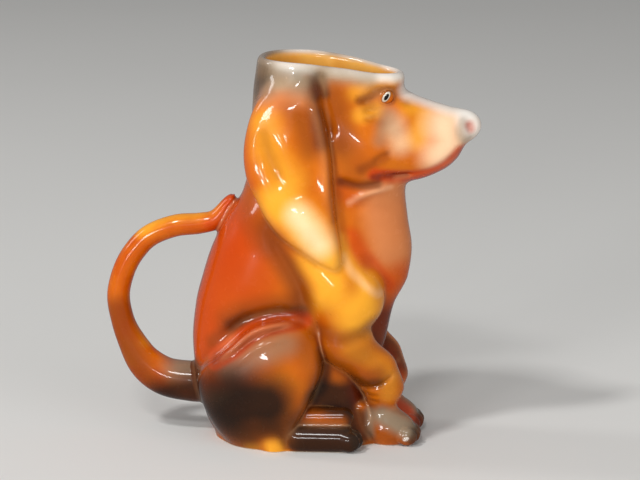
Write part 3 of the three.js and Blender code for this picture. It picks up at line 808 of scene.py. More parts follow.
@dataclass
class Casting:
    """The whole pitcher in clay: a hollow body with the ears, legs and feet joined to it."""

    wall: float = 3.2
    floor: float = 4.0
    floor_rounding: float = 8.0
    foot_ring: float = 4.5
    foot_recess: float = 1.2
    thinnest: float = 2.0
    lip: float = 2.6
    cheek_blend: float = 8.0
    muzzle_blend: float = 2.5
    shoulder_blade: tuple[Place, Place] = ((-6.0, 75.0), (13.0, 55.0))
    blade_radii: Place = (9.0, 11.0)
    blade_depth: float = 6.5
    blade_blend: float = 5.0
    strokes_from: float = 3.0
    strokes_fade: float = 6.0
    hock: tuple[Point, Point] = ((-2.0, 19.6, 10.4), (16.6, 19.2, 11.0))
    hock_radii: Place = (3.7, 3.3)
    hock_blend: float = 1.2
    wobble: float = 0.12
    wobble_size: Point = (17.0, 13.0, 19.0)
    thigh_hollow: Point = (-11.5, 15.5, 22.5)
    thigh_hollow_half: Point = (22.0, 14.0, 20.0)
    thigh_hollow_tilt: float = 20.0
    thigh_hollow_blend: float = 2.5
    muzzle_hollow_blend: float = 2.0
    cavity_edge: float = 1.0
    lip_from: float = 12.0
    lip_span: float = 8.0
    inner_edge: float = 0.4
    recess_edge: float = 0.6
    crown_blend: float = 3.5
    crown_from: float = 113.0
    crown_span: float = 9.0
    tail_blend: float = 2.6
    tail_root_depth: float = 4.0
    tail_inset: float = 0.1
    share_width: float = 0.7
    share_limits: Place = (-2.0, 9.0)
    trunk: Trunk = field(default_factory=Trunk)
    head: Head = field(default_factory=Head)
    haunches: Haunches = field(default_factory=Haunches)
    ear: Ear = field(default_factory=Ear)
    foreleg: Foreleg = field(default_factory=Foreleg)
    hind_foot: HindFoot = field(default_factory=HindFoot)
    tail: Tail = field(default_factory=Tail)

    def __post_init__(self) -> None:
        """Fits the tail and the strokes of the flank, and finds the flank at the eye."""
        self.tail.fit(self.trunk)
        self.flank_relief = strokes(
            Stroke(
                ((-8.6, 76), (-4.6, 67.9), (-0.8, 61.6), (2, 55.6), (3, 50.5), (3.4, 46)),
                1.3, 2.2, 0.25,
            ),
            Stroke(((6.6, 128.5), (8.4, 123.5), (10.6, 114), (12.8, 103)), 1.4, 2.0, 0.2),
            Stroke(((22, 67), (26.5, 61), (29.5, 55), (30, 50)), 1.0, 1.6, 0.3),
            Stroke(((18, 82.6), (21.5, 84.8), (26, 86.4), (31, 87.4)), -0.8, 1.2, 0.35),
            Stroke(((19, 79.4), (22.5, 82), (27, 84)), 0.5, 1.4, 0.4),
            Stroke(((19.6, 80), (19.4, 74), (21.5, 68)), -0.4, 2.0, 0.4),
        )
        reach = np.linspace(6, 24, 400)
        eye_x, eye_z = self.head.eye
        ray = np.stack([np.full(400, eye_x), reach, np.full(400, eye_z)], axis=1)
        self.eye_side = float(reach[self.plain_body(ray) < 0].max())

    def plain_body(self, p: Array) -> Array:
        """The body without haunches, strokes or eyes. Y is positive."""
        skull = join(self.trunk.clay(p), self.head.cheeks(p), self.cheek_blend)
        return join(skull, self.head.muzzle(p), self.muzzle_blend)

    def body(self, p: Array) -> Array:
        """The body's outside.

        Args:
            p: Points, with their Y made positive.

        Returns:
            The body's field.
        """
        x, y, z = p.T
        clay = self.head.finished(self.plain_body(p), p, self.eye_side)
        top, foot = (
            (blade_x, float(self.trunk.flank_line(np.array(blade_z))) - self.blade_depth, blade_z)
            for blade_x, blade_z in self.shoulder_blade
        )
        clay = join(clay, limb(p, top, foot, *self.blade_radii), self.blade_blend)
        side = smooth((y - self.strokes_from) / self.strokes_fade)
        clay = clay + (self.flank_relief(x, z) + np.maximum(self.haunches.relief(x, z), 0)) * side
        clay = join(clay, self.haunches.clay(p), self.haunches.blend)
        clay = join(clay, limb(p, *self.hock, *self.hock_radii), self.hock_blend)
        u, v, w = p.T / np.array(self.wobble_size)[:, None]
        long_wave = np.sin(u + 2 * w) * np.cos(2 * v)
        short_wave = 0.6 * np.sin(3 * u + 1.7 * w) * np.cos(v)
        return clay + self.wobble * (long_wave + short_wave)

    def cavity(self, p: Array) -> Array:
        """The hollow, open at the crown.

        Args:
            p: Points, with their Y made positive.

        Returns:
            The hollow's field.
        """
        thigh = egg(p, self.thigh_hollow, self.thigh_hollow_half, self.thigh_hollow_tilt)
        trunk = join(self.trunk.clay(p), thigh, self.thigh_hollow_blend) + self.wall
        hollow = join(trunk, self.head.muzzle(p) + self.wall, self.muzzle_hollow_blend)
        hollow = trim(hollow, self.floor - p[:, 2], self.floor_rounding)
        return trim(hollow, self.body(p) + self.thinnest, self.cavity_edge)

    def shares(self, points: Array) -> dict["Where", Array]:
        """How much each point belongs to the body, ears, forelegs and hind feet.

        Args:
            points: Points, one a row.

        Returns:
            Each kind of part's share, which add up to 1.
        """
        p = folded(points)
        fields = {
            Where.BODY: self.body(p), Where.EAR: self.ear.clay(p),
            Where.LEG: self.foreleg.clay(p), Where.FOOT: self.hind_foot.clay(p),
        }
        weights = {
            where: np.exp(-np.clip(clay, *self.share_limits) / self.share_width)
            for where, clay in fields.items()
        }
        total = sum(weights.values())
        return {where: weight / total for where, weight in weights.items()}

    def solid(self, points: Array) -> tuple[Array, Array]:
        """The finished pitcher without its tail.

        Args:
            points: Points, one a row.

        Returns:
            The field, and the label of the part that each point belongs to, with the left part's label.
        """
        p = folded(points)
        x, _, z = p.T
        body = self.body(p)
        parts = {
            Part.LEFT_EAR: (self.ear.clay(p), self.ear.blend),
            Part.LEFT_FORELEG: (self.foreleg.clay(p), self.foreleg.blend),
            Part.LEFT_HIND_FOOT: (self.hind_foot.clay(p), self.hind_foot.blend),
        }
        whole = body
        label = np.full(len(p), Part.BODY.value)
        nearest = np.maximum(body, 0)
        softer = self.crown_blend * smooth((z - self.crown_from) / self.crown_span)
        for part, (clay, blend) in parts.items():
            whole = join(whole, clay, blend + softer)
            mine = (clay < nearest) & (body > 0)
            label[mine] = part.value
            nearest = np.where(mine, clay, nearest)
        stub = np.maximum(self.tail.clay(p) + self.tail_inset, body - self.tail_root_depth)
        whole = join(whole, stub, self.tail_blend)
        rim = self.trunk.rim_line(x)
        whole = trim(whole, z - rim, self.lip)
        inner_lip = self.lip * smooth((z - rim + self.lip_from) / self.lip_span) + self.inner_edge
        whole = trim(whole, -self.cavity(p), inner_lip)
        whole = np.maximum(whole, -z)
        recess = np.maximum(self.trunk.clay(p) + self.foot_ring, z - self.foot_recess)
        return trim(whole, -recess, self.recess_edge), label


# From clay to meshes


@dataclass
class Cutter:
    """Cuts the clay into closed meshes, one a part, that meet without a gap."""

    casting: Casting
    step: float = 1.0
    low: Point = (-43.0, 0.0, -2.5)
    high: Point = (64.0, 32.0, 134.0)
    tolerance: float = 0.035
    shortest: float = 0.3
    rounds: int = 2
    probe: float = 0.05
    longest_move: float = 0.5
    least_slope_squared: float = 0.04
    net_turns: int = 3
    split_turns: int = 2

    def field(self, points: Array) -> Array:
        """The clay's field at each point."""
        return np.concatenate([self.casting.solid(lot)[0] for lot in lots(points)])

    def slope(self, points: Array) -> tuple[Array, Array]:
        """Works out the field and its slope from four probes round each point.

        Args:
            points: Points, one a row.

        Returns:
            The field and the slope at each point.
        """
        corners = np.array([(1, -1, -1), (-1, -1, 1), (-1, 1, -1), (1, 1, 1)])
        values = [self.field(points + corner * self.probe) for corner in corners]
        slope = sum(value[:, None] * corner for value, corner in zip(values, corners)) / (4 * self.probe)
        return sum(values) / 4, slope

    def settle(self, points: Array, turns: int) -> Array:
        """Moves points along the slope on to the clay's surface.

        Args:
            points: Points, one a row.
            turns: How often they are moved.

        Returns:
            The moved points.
        """
        for _ in range(turns):
            value, slope = self.slope(points)
            push = value / np.maximum((slope**2).sum(axis=1), self.least_slope_squared)
            move = push[:, None] * slope
            length = np.linalg.norm(move, axis=1, keepdims=True)
            points = points - move * np.minimum(1, self.longest_move * self.step / np.maximum(length, 1e-9))
        return points

    def grid(self) -> tuple[list[Array], Array, Array]:
        """Works out the field and the labels on a grid that is the same on both sides.

        Returns:
            The grid's places along each axis, the field, and the labels.
        """
        axes = [np.arange(low, high, self.step) for low, high in zip(self.low, self.high)]
        axes[1] = axes[1] + self.step / 2
        points = np.stack(np.meshgrid(*axes, indexing="ij"), axis=-1).reshape(-1, 3)
        shape = tuple(len(axis) for axis in axes)
        results = zip(*(self.casting.solid(lot) for lot in lots(points)))
        value, label = (np.concatenate(result).reshape(shape) for result in results)
        label = np.where(value < 0, label, Part.OUTSIDE.value)
        mirrored = np.where(label > Part.BODY.value, label + 1, label)[:, ::-1]
        axes[1] = np.concatenate([-axes[1][::-1], axes[1]])
        value = np.concatenate([value[:, ::-1], value], axis=1)
        return axes, value, np.concatenate([mirrored, label], axis=1)

    def net(self) -> tuple[Array, Array, Array, Array]:
        """Lays a net of quads between every two labels.

        Returns:
            The net's points, its quads, and the labels behind and in front of each quad.
        """
        axes, value, label = self.grid()
        outside = Part.OUTSIDE.value
        count = [n - 1 for n in label.shape]

        def corner(values: Array, place: tuple[int, ...]) -> Array:
            """One corner of each cell."""
            return values[tuple(slice(s, s + n) for s, n in zip(place, count))]

        places = [(i, j, k) for i in (0, 1) for j in (0, 1) for k in (0, 1)]
        first = corner(label, places[0])
        active = np.zeros(count, bool)
        for place in places[1:]:
            active |= corner(label, place) != first
        cells = np.argwhere(active)
        number = np.full(count, -1)
        number[active] = np.arange(len(cells))
        spots = np.zeros((2, len(cells), 3))
        found = np.zeros((2, len(cells), 1))
        for start in places:
            for axis in range(3):
                if start[axis]:
                    continue
                end = tuple(1 if i == axis else s for i, s in enumerate(start))
                a, b = (tuple((cells + np.array(s)).T) for s in (start, end))
                differ = label[a] != label[b]
                open_air = differ & ((label[a] == outside) | (label[b] == outside))
                gap = value[a] - value[b]
                share = np.where(open_air, value[a] / np.where(open_air, gap, 1), 0.5)
                spot = np.tile(np.array(start, float), (len(cells), 1))
                spot[:, axis] = share
                for kind, mask in enumerate((open_air, differ)):
                    spots[kind] += spot * mask[:, None]
                    found[kind] += mask[:, None]
        spot = np.where(found[0] > 0, spots[0] / np.maximum(found[0], 1), spots[1] / np.maximum(found[1], 1))
        origin = np.array([axis[0] for axis in axes])
        points = origin + (cells + spot) * self.step
        on_surface = found[0][:, 0] > 0
        points[on_surface] = self.settle(points[on_surface], self.net_turns)
        quads, behind, ahead = [], [], []
        for axis in range(3):
            b, c = (axis + 1) % 3, (axis + 2) % 3
            here = np.moveaxis(label, axis, 0)
            edges = np.argwhere(np.moveaxis(here[:-1] != here[1:], 0, axis))
            behind.append(label[tuple(edges.T)])
            step = np.zeros(3, int)
            step[axis] = 1
            ahead.append(label[tuple((edges + step).T)])
            corners = []
            for back_b, back_c in ((1, 1), (0, 1), (0, 0), (1, 0)):
                cell = edges.copy()
                cell[:, b] -= back_b
                cell[:, c] -= back_c
                corners.append(number[tuple(cell.T)])
            quads.append(np.stack(corners, axis=1))
        return points, np.concatenate(quads), np.concatenate(behind), np.concatenate(ahead)

    def refine(self, points: Array, faces: Array, open_air: Array) -> tuple[Array, Array, Array]:
        """Splits the surface's edges where the clay bends away from them.

        Args:
            points: The net's points.
            faces: Its triangles.
            open_air: Which of the triangles are on the surface.

        Returns:
            The points, the triangles, and for each triangle the one that it came from.
        """
        ends = np.stack([faces, np.roll(faces, -1, axis=1)], axis=2).reshape(-1, 2)
        ends.sort(axis=1)
        edges, which = np.unique(ends, axis=0, return_inverse=True)
        which = which.reshape(-1, 3)
        surface = np.zeros(len(edges), bool)
        surface[which[open_air]] = True
        a, b = points[edges[:, 0]], points[edges[:, 1]]
        chosen = np.flatnonzero(surface & (np.linalg.norm(a - b, axis=1) > self.shortest))
        middles = (a[chosen] + b[chosen]) / 2
        bent = np.abs(self.field(middles)) > self.tolerance
        chosen, middles = chosen[bent], self.settle(middles[bent], self.split_turns)
        number = np.full(len(edges), -1)
        number[chosen] = len(points) + np.arange(len(chosen))
        mids = number[which]
        counts = (mids >= 0).sum(axis=1)
        split_edge, after_whole_edge = np.argmax(mids >= 0, axis=1), (np.argmin(mids, axis=1) + 1) % 3
        shift = np.select([counts == 1, counts == 2], [split_edge, after_whole_edge], 0)
        turn = (np.arange(3) + shift[:, None]) % 3
        t = np.take_along_axis(faces, turn, axis=1)
        m = np.take_along_axis(mids, turn, axis=1)
        everything = np.concatenate([t, m], axis=1)
        plans = {
            0: ((0, 1, 2),),
            1: ((0, 3, 2), (3, 1, 2)),
            2: ((3, 1, 4), (0, 3, 4), (0, 4, 2)),
            3: ((0, 3, 5), (3, 1, 4), (5, 4, 2), (3, 4, 5)),
        }
        result, source = [], []
        for n, plan in plans.items():
            rows = np.flatnonzero(counts == n)
            for corners in plan:
                result.append(everything[rows][:, corners])
                source.append(rows)
        return np.concatenate([points, middles]), np.concatenate(result), np.concatenate(source)

    def cut(self) -> tuple[Array, Array, dict[Part, Array]]:
        """Cuts the clay.

        Returns:
            The points of all parts, their outward directions, and each part's triangles.
        """
        points, quads, behind, ahead = self.net()
        one = np.linalg.norm(points[quads[:, 0]] - points[quads[:, 2]], axis=1)
        other = np.linalg.norm(points[quads[:, 1]] - points[quads[:, 3]], axis=1)
        short = (one <= other)[:, None]
        faces = np.concatenate([
            np.where(short, quads[:, (0, 1, 2)], quads[:, (0, 1, 3)]),
            np.where(short, quads[:, (0, 2, 3)], quads[:, (1, 2, 3)]),
        ])
        behind, ahead = np.tile(behind, 2), np.tile(ahead, 2)
        outside = Part.OUTSIDE.value
        for _ in range(self.rounds):
            open_air = (behind == outside) | (ahead == outside)
            points, faces, source = self.refine(points, faces, open_air)
            behind, ahead = behind[source], ahead[source]
        _, slope = self.slope(points)
        outward = slope / np.maximum(np.linalg.norm(slope, axis=1, keepdims=True), 1e-9)
        parts = {
            part: np.concatenate([faces[behind == part.value], faces[ahead == part.value][:, ::-1]])
            for part in Part
            if part is not Part.OUTSIDE
        }
        return points, outward, parts


# Colour


class Pigment(Enum):
    """The airbrushed colours, in the order in which they lie on the ground colour. Some passes of them are
    painted shade and highlights.
    """

    RUST = (190, 62, 5)
    HONEY = (246, 172, 46)
    CHESTNUT = (122, 54, 12)
    BLUSH = (212, 134, 84)
    PEACH = (246, 204, 164)
    CREAM = (253, 230, 188)
    IVORY = (240, 236, 228)
    SMOKE = (132, 120, 100)
    EMBER = (196, 62, 8)
    UMBER = (34, 20, 11)
    OXBLOOD = (84, 26, 9)


class Tint(Enum):
    """The colours that aren't airbrushed: the glaze's own, the painted eye's and the bare clay's."""

    GROUND = (198, 98, 10)
    TAIL_GROUND = (190, 78, 6)
    GROUND_PALE = (216, 118, 16)
    POOLED = (150, 70, 40)
    THIN = (250, 196, 140)
    INSIDE = (222, 140, 44)
    INSIDE_PALE = (240, 190, 96)
    DEPTH = (232, 214, 200)
    EYE_RIM = (88, 62, 40)
    EYE_WHITE = (206, 200, 184)
    PUPIL = (16, 13, 12)
    CHIP = (238, 234, 226)
    BISCUIT = (222, 206, 182)
    BISCUIT_DARK = (204, 184, 156)
    FLOOR = (226, 225, 222)
    FLOOR_DARK = (222, 221, 218)


class Where(Enum):
    """The parts that a spray reaches."""

    BODY = (Part.BODY,)
    EAR = (Part.LEFT_EAR, Part.RIGHT_EAR)
    LEG = (Part.LEFT_FORELEG, Part.RIGHT_FORELEG)
    FOOT = (Part.LEFT_HIND_FOOT, Part.RIGHT_HIND_FOOT)
    TAIL = ()


@dataclass(frozen=True)
class Spray:
    """One pass of the airbrush over a flank. Some passes paint shade and some paint highlights, rather than
    the glaze's own colour.

    The colour is full on the path and gone at radius, with a soft edge that starts at the core share of
    it. It stays off what lies nearer the middle than inner or further out than outer, and fades there over
    fade.
    """

    pigment: Pigment
    radius: float
    strength: float
    points: tuple[Place, ...]
    core: float = 0.0
    inner: float = -10.0
    outer: float = 99.0
    fade: float = 4.0

    def amount(self, p: Array) -> Array:
        """Sprays the flanks.

        Args:
            p: Points, one a row.

        Returns:
            How much colour lands on each point.
        """
        distance, _, _ = to_path(p[:, 0], p[:, 2], flowing(self.points, steps=4))
        edge = smooth((1 - distance / self.radius) / (1 - self.core))
        side = np.abs(p[:, 1])
        reached = self.strength * edge * smooth((side - self.inner) / self.fade)
        return reached * smooth((self.outer - side) / self.fade)


P = Pigment
SPRAYS = {
    Where.BODY: (
        # Back and flank
        Spray(P.RUST, 26, 0.85, ((-26, 72), (-32, 56), (-34, 42), (-28, 30)), 0.2),
        Spray(P.RUST, 17, 0.65, ((-16, 66), (-14, 57)), 0.2),
        Spray(P.CHESTNUT, 9, 0.4, ((-13, 86), (-13, 78), (-9, 71)), 0.2),
        # Painted shade: chestnut darkens the crease behind the shoulder blade.
        Spray(P.CHESTNUT, 7, 0.75, ((-8, 75), (-4.9, 67.9), (-0.6, 60.5), (2.2, 54), (3.4, 47)), 0.1, 8),
        # Partly brown glaze, partly painted shade: these darken the valley above the thigh's crest, with
        # umber in its bottom.
        Spray(P.CHESTNUT, 7, 0.55, ((2, 49), (-6, 48.4), (-15, 46.6), (-22, 43)), 0.1, 6),
        Spray(P.UMBER, 3.8, 0.62, ((2.5, 46.6), (-4, 46.6), (-10, 45.8), (-16, 44.2), (-21, 41.6)), 0.1, 6),
        Spray(P.CHESTNUT, 5, 0.6, ((-16, 43.6), (-21, 40.5), (-27, 35)), 0.1, 6),
        # Haunch
        Spray(
            P.EMBER, 4, 0.75,
            ((3.2, 44), (-4, 43.4), (-10, 42), (-14, 40), (-20, 34.8), (-26, 30.4)),
            0.5, 12,
        ),
        Spray(P.OXBLOOD, 3, 0.45, ((2, 42.6), (-6, 41.6), (-14, 38.4), (-20, 33.6), (-26, 30)), 0.1, 12),
        # Partly grey glaze, partly a painted reflection: grey smoke on the top of the thigh stands in for a
        # window's reflection.
        Spray(P.SMOKE, 8, 0.5, ((-3, 37), (-10, 34.6), (-20, 28)), 0.1, 12),
        Spray(P.CHESTNUT, 9, 0.4, ((0, 36.4), (-8, 33), (-20, 26)), 0.1, 12),
        Spray(P.CHESTNUT, 9, 0.8, ((-26, 27), (-30, 18), (-30, 8)), 0.1),
        Spray(P.UMBER, 17, 0.98, ((-8, 17.5), (-14, 17.5), (-21, 14.5)), 0.2, 8),
        Spray(P.UMBER, 12, 0.8, ((-20, 22), (-26, 14), (-20, 7), (-6, 7)), 0.1),
        Spray(P.UMBER, 7.5, 0.85, ((-35, 8), (-35, 22)), 0.3),
        Spray(P.CHESTNUT, 5, 0.6, ((8, 24), (5.8, 17), (1, 10)), 0.1, 12),
        Spray(P.HONEY, 4, 0.5, ((-14, 0.5), (-9, 0.5)), 0.2),
        # Gap behind the foreleg: brown glaze with painted shade, near black at the bottom of the gap
        Spray(P.CHESTNUT, 11, 0.5, ((9, 36), (12, 26), (16, 20)), 0.4, 2),
        Spray(P.UMBER, 7, 0.92, ((9.4, 18), (14, 16.6), (20, 16.5)), 0.4, 2),
        Spray(P.UMBER, 3.4, 0.7, ((9.6, 34), (10.2, 26), (8.6, 20)), 0.1, 2),
        # Hock
        Spray(P.CHESTNUT, 5, 0.55, ((2, 12), (10, 12), (18, 12)), 0.2, 12),
        Spray(P.UMBER, 5, 0.85, ((20.6, 14), (21, 8), (21.5, 3)), 0.3, 4),
        # Chest
        Spray(P.BLUSH, 11.5, 0.76, ((29.4, 84), (30.2, 76), (32, 67)), 0.25),
        Spray(P.EMBER, 9, 0.5, ((34, 56), (30, 48), (28, 42)), 0.2),
        # Partly the glaze's dark red, partly painted shade: oxblood darkens the chest between the forelegs.
        Spray(P.OXBLOOD, 15, 0.85, ((28, 37), (27, 26), (26, 8)), 0.4, -10, 15),
        Spray(P.HONEY, 3.6, 0.7, ((16, 71), (16.8, 67), (19.4, 62.6), (25, 55)), 0.2, 8),
        # Painted highlight: a pale peach line along the ridge from the shoulder blade to the shoulder.
        Spray(P.PEACH, 2, 0.3, ((16.4, 66), (19, 61.4), (23, 57.2), (28, 52.6)), 0.1, 8),
        # Painted highlight: a pale peach line along the throat fold.
        Spray(P.PEACH, 1.8, 0.25, ((18, 83), (21.5, 85), (26, 86.6), (31, 87.6)), 0.1, 6),
        Spray(P.HONEY, 10, 0.85, ((8, 65), (12, 58), (12, 50)), 0.2, 8),
        Spray(P.EMBER, 4.6, 0.65, ((19, 72), (22, 66), (26, 60), (30, 54)), 0.2, 4),
        Spray(P.RUST, 6, 0.5, ((14, 88), (19, 84.5)), 0.1, 5),
        # Crown, rim and back of the head
        Spray(P.IVORY, 7, 0.9, ((-9, 131), (-2, 129.5), (5, 129)), 0.3),
        Spray(P.CREAM, 5.5, 0.6, ((6, 129.5), (14, 128.5), (24, 126.5), (33, 125.5)), 0.3),
        Spray(P.SMOKE, 13, 0.85, ((-13.5, 124), (-15, 112), (-16, 101)), 0.25),
        Spray(P.SMOKE, 4.5, 0.65, ((11, 126.5), (17, 125), (24, 123.4)), 0.1),
        Spray(P.UMBER, 6, 0.7, ((-11, 127), (-11.6, 118)), 0.1),
        Spray(P.SMOKE, 6, 0.85, ((-7, 124.5), (0, 124.6), (8, 125.6)), 0.1),
        # Face
        # Painted shade: chestnut and umber darken the groove between cheek and ear, umber at its top under
        # the ear's fold.
        Spray(P.CHESTNUT, 8, 0.6, ((11, 122), (13.5, 114), (14.5, 103)), 0.1, 5),
        Spray(P.UMBER, 3.4, 0.75, ((8.4, 124.6), (9.6, 119.5)), 0.2, 10),
        Spray(P.CHESTNUT, 8, 0.35, ((17, 104), (20, 96)), 0.2, 5),
        # Partly honey glaze, partly a painted highlight along the top of the brow ridge.
        Spray(P.HONEY, 5, 0.5, ((20, 119.6), (27, 121.2), (34, 121.2)), 0.1, 5),
        Spray(P.HONEY, 4.5, 0.6, ((21.5, 112), (26, 113)), 0.1, 5),
        # Painted shade under the brow ridge and in front of the eye.
        Spray(P.CHESTNUT, 2.4, 0.7, ((21, 116.8), (25, 117.8), (28, 119.6), (33, 119.6)), 0.1, 5),
        Spray(P.CHESTNUT, 3.4, 0.5, ((33, 118), (35.5, 116)), 0.1, 4),
        Spray(P.SMOKE, 4.4, 0.45, ((29.6, 112), (28.8, 107.5), (28, 104)), 0, 5),
        Spray(P.CREAM, 6.2, 0.42, ((32.6, 108), (34.8, 102.4)), 0, 4),
        Spray(P.SMOKE, 4, 0.3, ((31.6, 111), (33, 107)), 0, 4),
        Spray(P.HONEY, 6, 0.6, ((37, 115), (42, 112), (40, 104)), 0.1, 3),
        Spray(P.PEACH, 12.5, 0.97, ((50, 108.5), (52.5, 102.5), (49.5, 98)), 0.15),
        Spray(P.IVORY, 4.6, 0.9, ((36.5, 119), (42, 117), (49, 114.8), (57, 112.3)), 0.25),
        Spray(P.IVORY, 6.5, 0.85, ((57, 109.5), (58, 106.5)), 0.35),
        # Painted shade: grey smoke behind and under the nose.
        Spray(P.SMOKE, 2.6, 0.5, ((54.4, 109), (53.6, 106), (55.2, 103), (57.6, 103.4)), 0.1, 1.5),
        Spray(P.EMBER, 2.4, 0.75, ((56.6, 107.6), (57.2, 106.4)), 0.1, 1.5),
        Spray(
            P.EMBER, 3.6, 0.9,
            ((26.5, 92.4), (31, 91.6), (36, 90.8), (44, 91.6), (50, 94.8), (54, 99)),
            0.35,
        ),
        Spray(P.OXBLOOD, 1.8, 0.5, ((26, 91.8), (30, 91.6), (36, 91.6)), 0.1),
        # Painted shade: chestnut and oxblood darken the cheek crease and the crease under the jaw.
        Spray(P.CHESTNUT, 3, 0.6, ((22, 94.4), (26, 96.4), (30, 98.8)), 0.1, 5),
        Spray(P.OXBLOOD, 2.8, 0.7, ((15, 90), (20.9, 88.6), (27, 89.2)), 0.1, 3),
    ),
    Where.EAR: (
        Spray(P.IVORY, 6, 0.85, ((-5, 129.5), (1, 128.5)), 0.2),
        Spray(P.BLUSH, 8, 0.7, ((-9, 119.5), (-3, 121), (3, 120.5)), 0.1),
        Spray(P.CREAM, 5, 0.5, ((-5, 124), (0, 125)), 0.1),
        Spray(P.SMOKE, 7, 0.75, ((-10, 121.5), (-4, 124), (4, 123)), 0.1),
        Spray(P.SMOKE, 3.4, 0.6, ((1, 125.8), (4.5, 123.5)), 0.1),
        Spray(P.CHESTNUT, 8, 0.6, ((1, 116.5), (4, 111), (7, 103)), 0.1),
        # Painted shade: umber and oxblood darken the ear's front fold under its top.
        Spray(P.UMBER, 3.2, 0.75, ((6.6, 125.4), (7.8, 119)), 0.15),
        Spray(P.OXBLOOD, 4.6, 0.65, ((7, 120), (8.2, 112), (9.4, 104)), 0.1),
        Spray(P.RUST, 5, 0.4, ((-12.5, 113), (-16, 100), (-14.5, 90)), 0.1),
        Spray(P.HONEY, 9, 0.6, ((-9, 110), (-7, 100), (-1, 91)), 0.1),
        # Painted shade: chestnut darkens the soft fold in the ear's upper part.
        Spray(P.CHESTNUT, 3.4, 0.3, ((-9, 107), (-7.6, 100), (-4.6, 93)), 0),
        Spray(P.HONEY, 10, 0.9, ((-5, 84), (2, 79), (8, 71), (13, 63)), 0.2),
        # Partly cream glaze, partly a painted highlight on the ear's lower bulge.
        Spray(P.CREAM, 7.6, 0.68, ((2.4, 80), (6, 75.5), (9, 71)), 0),
        # Painted shade: thin chestnut lines in the crease along the ear's front edge and under its lower rear
        # edge.
        Spray(P.CHESTNUT, 1.6, 0.4, ((9, 114), (10.8, 107), (12.4, 97), (13, 86), (13.8, 78)), 0.1),
        Spray(
            P.CHESTNUT, 1.5, 0.8,
            ((-9.6, 77.6), (-5.2, 72.9), (-1.1, 69.3), (3.6, 65.9), (7.4, 63.2)),
            0.1,
        ),
    ),
    Where.LEG: (
        Spray(P.HONEY, 13, 0.92, ((18, 60), (21, 53), (22, 46)), 0.2),
        Spray(P.RUST, 9, 0.45, ((3, 50), (7, 44)), 0.1),
        Spray(P.HONEY, 5.5, 0.4, ((19, 35.4), (24, 32), (29, 28)), 0.1),
        # Partly brown glaze, partly painted shade: chestnut darkens the elbow and forearm below the shoulder.
        Spray(P.CHESTNUT, 9, 0.42, ((11, 38), (18, 35), (25, 29), (30, 21)), 0.1),
        # Painted highlight: a pale peach line along the ridge from the shoulder blade to the shoulder.
        Spray(P.PEACH, 2, 0.35, ((16.4, 66), (19, 61.4), (23, 57.2), (28, 52.6)), 0.1),
        # Painted shade: chestnut and umber darken the underside of the forearm and the crease above the
        # wrist.
        Spray(P.CHESTNUT, 5, 0.6, ((11, 32), (17, 27), (22, 23.8), (28, 25.4)), 0.1),
        Spray(P.UMBER, 3.2, 0.6, ((19, 23.4), (24, 22), (28, 22.4)), 0.1),
        # Painted shade: chestnut darkens the crease under the shoulder.
        Spray(P.CHESTNUT, 4.6, 0.55, ((8.4, 40), (15, 38.6), (22, 40), (27, 43)), 0.1),
        Spray(P.HONEY, 5, 0.5, ((31.5, 24), (31, 18.5)), 0.1),
        Spray(P.CHESTNUT, 4, 0.5, ((23, 18), (24.5, 14.5)), 0.1),
        Spray(P.CHESTNUT, 9, 0.7, ((26.5, 9), (31, 6.5), (36, 5)), 0.3),
        Spray(P.SMOKE, 5, 0.9, ((29, 10.5), (33, 8.6), (38, 5.6)), 0.2),
        Spray(P.SMOKE, 3, 0.7, ((24.6, 11), (24.6, 4)), 0.2),
        Spray(P.UMBER, 4, 0.75, ((40.2, 2), (41.2, 5)), 0.3),
        Spray(P.UMBER, 3.6, 0.6, ((21.6, 10), (23.5, 2)), 0.1),
        # Partly the glaze's dark red, partly painted shade: oxblood darkens the inner sides of the forelegs.
        Spray(P.OXBLOOD, 14, 0.85, ((28, 50), (30, 38), (36, 30)), 0.5, -10, 11),
        Spray(P.EMBER, 12, 0.8, ((32, 26), (33, 14), (38, 6)), 0.3, -10, 8),
    ),
    Where.FOOT: (
        Spray(P.UMBER, 9, 0.97, ((3, 6.5), (11, 6), (20, 5)), 0.6),
        Spray(P.SMOKE, 3, 0.8, ((-2, 7), (5, 9.2), (15, 9), (20, 7), (21.5, 3)), 0.1),
        Spray(P.HONEY, 5, 0.9, ((-6.5, 5), (-5, 0)), 0.3),
    ),
    Where.TAIL: (
        # Partly honey glaze, partly a painted highlight along the top of the tail.
        Spray(P.HONEY, 5.5, 0.85, ((-29, 77), (-36, 77.5), (-46, 76), (-54, 71)), 0.1),
        Spray(P.HONEY, 4, 0.4, ((-56, 46), (-52, 32)), 0.1),
        Spray(P.EMBER, 9, 0.8, ((-18, 83), (-23, 76), (-27, 72)), 0.3),
        Spray(P.CHESTNUT, 8, 0.75, ((-62, 42), (-59, 31), (-53, 20), (-46, 14)), 0.1),
        Spray(P.SMOKE, 10, 0.85, ((-40, 24), (-30, 23)), 0.1),
        Spray(P.UMBER, 11, 0.92, ((-46, 11.5), (-38, 14), (-28, 16)), 0.2),
    ),
}


def sprayed(p: Array, shares: dict[Where, Array]) -> dict[Pigment, Array]:
    """Adds up what the airbrush leaves on each point, painted shade and highlights included.

    Args:
        p: The points.
        shares: How much each point belongs to each part.

    Returns:
        The cover of each pigment, from 0 to 1.
    """
    cover = {pigment: np.zeros(len(p)) for pigment in Pigment}
    for where, share in shares.items():
        near = share > LEAST_SHARE
        if not near.any():
            continue
        bare = {pigment: np.ones(near.sum()) for pigment in Pigment}
        for spray in SPRAYS[where]:
            bare[spray.pigment] *= 1 - spray.amount(p[near])
        for pigment, left in bare.items():
            cover[pigment][near] += share[near] * (1 - left)
    return cover


# Materials


def paint(colour: Pigment | Tint) -> tuple[float, float, float, float]:
    """A colour as it is seen on a screen, from 0 to 255 each, made linear."""
    channels = (c / 255 for c in colour.value)
    return tuple(c / 12.92 if c <= 0.04045 else ((c + 0.055) / 1.055) ** 2.4 for c in channels) + (1.0,)


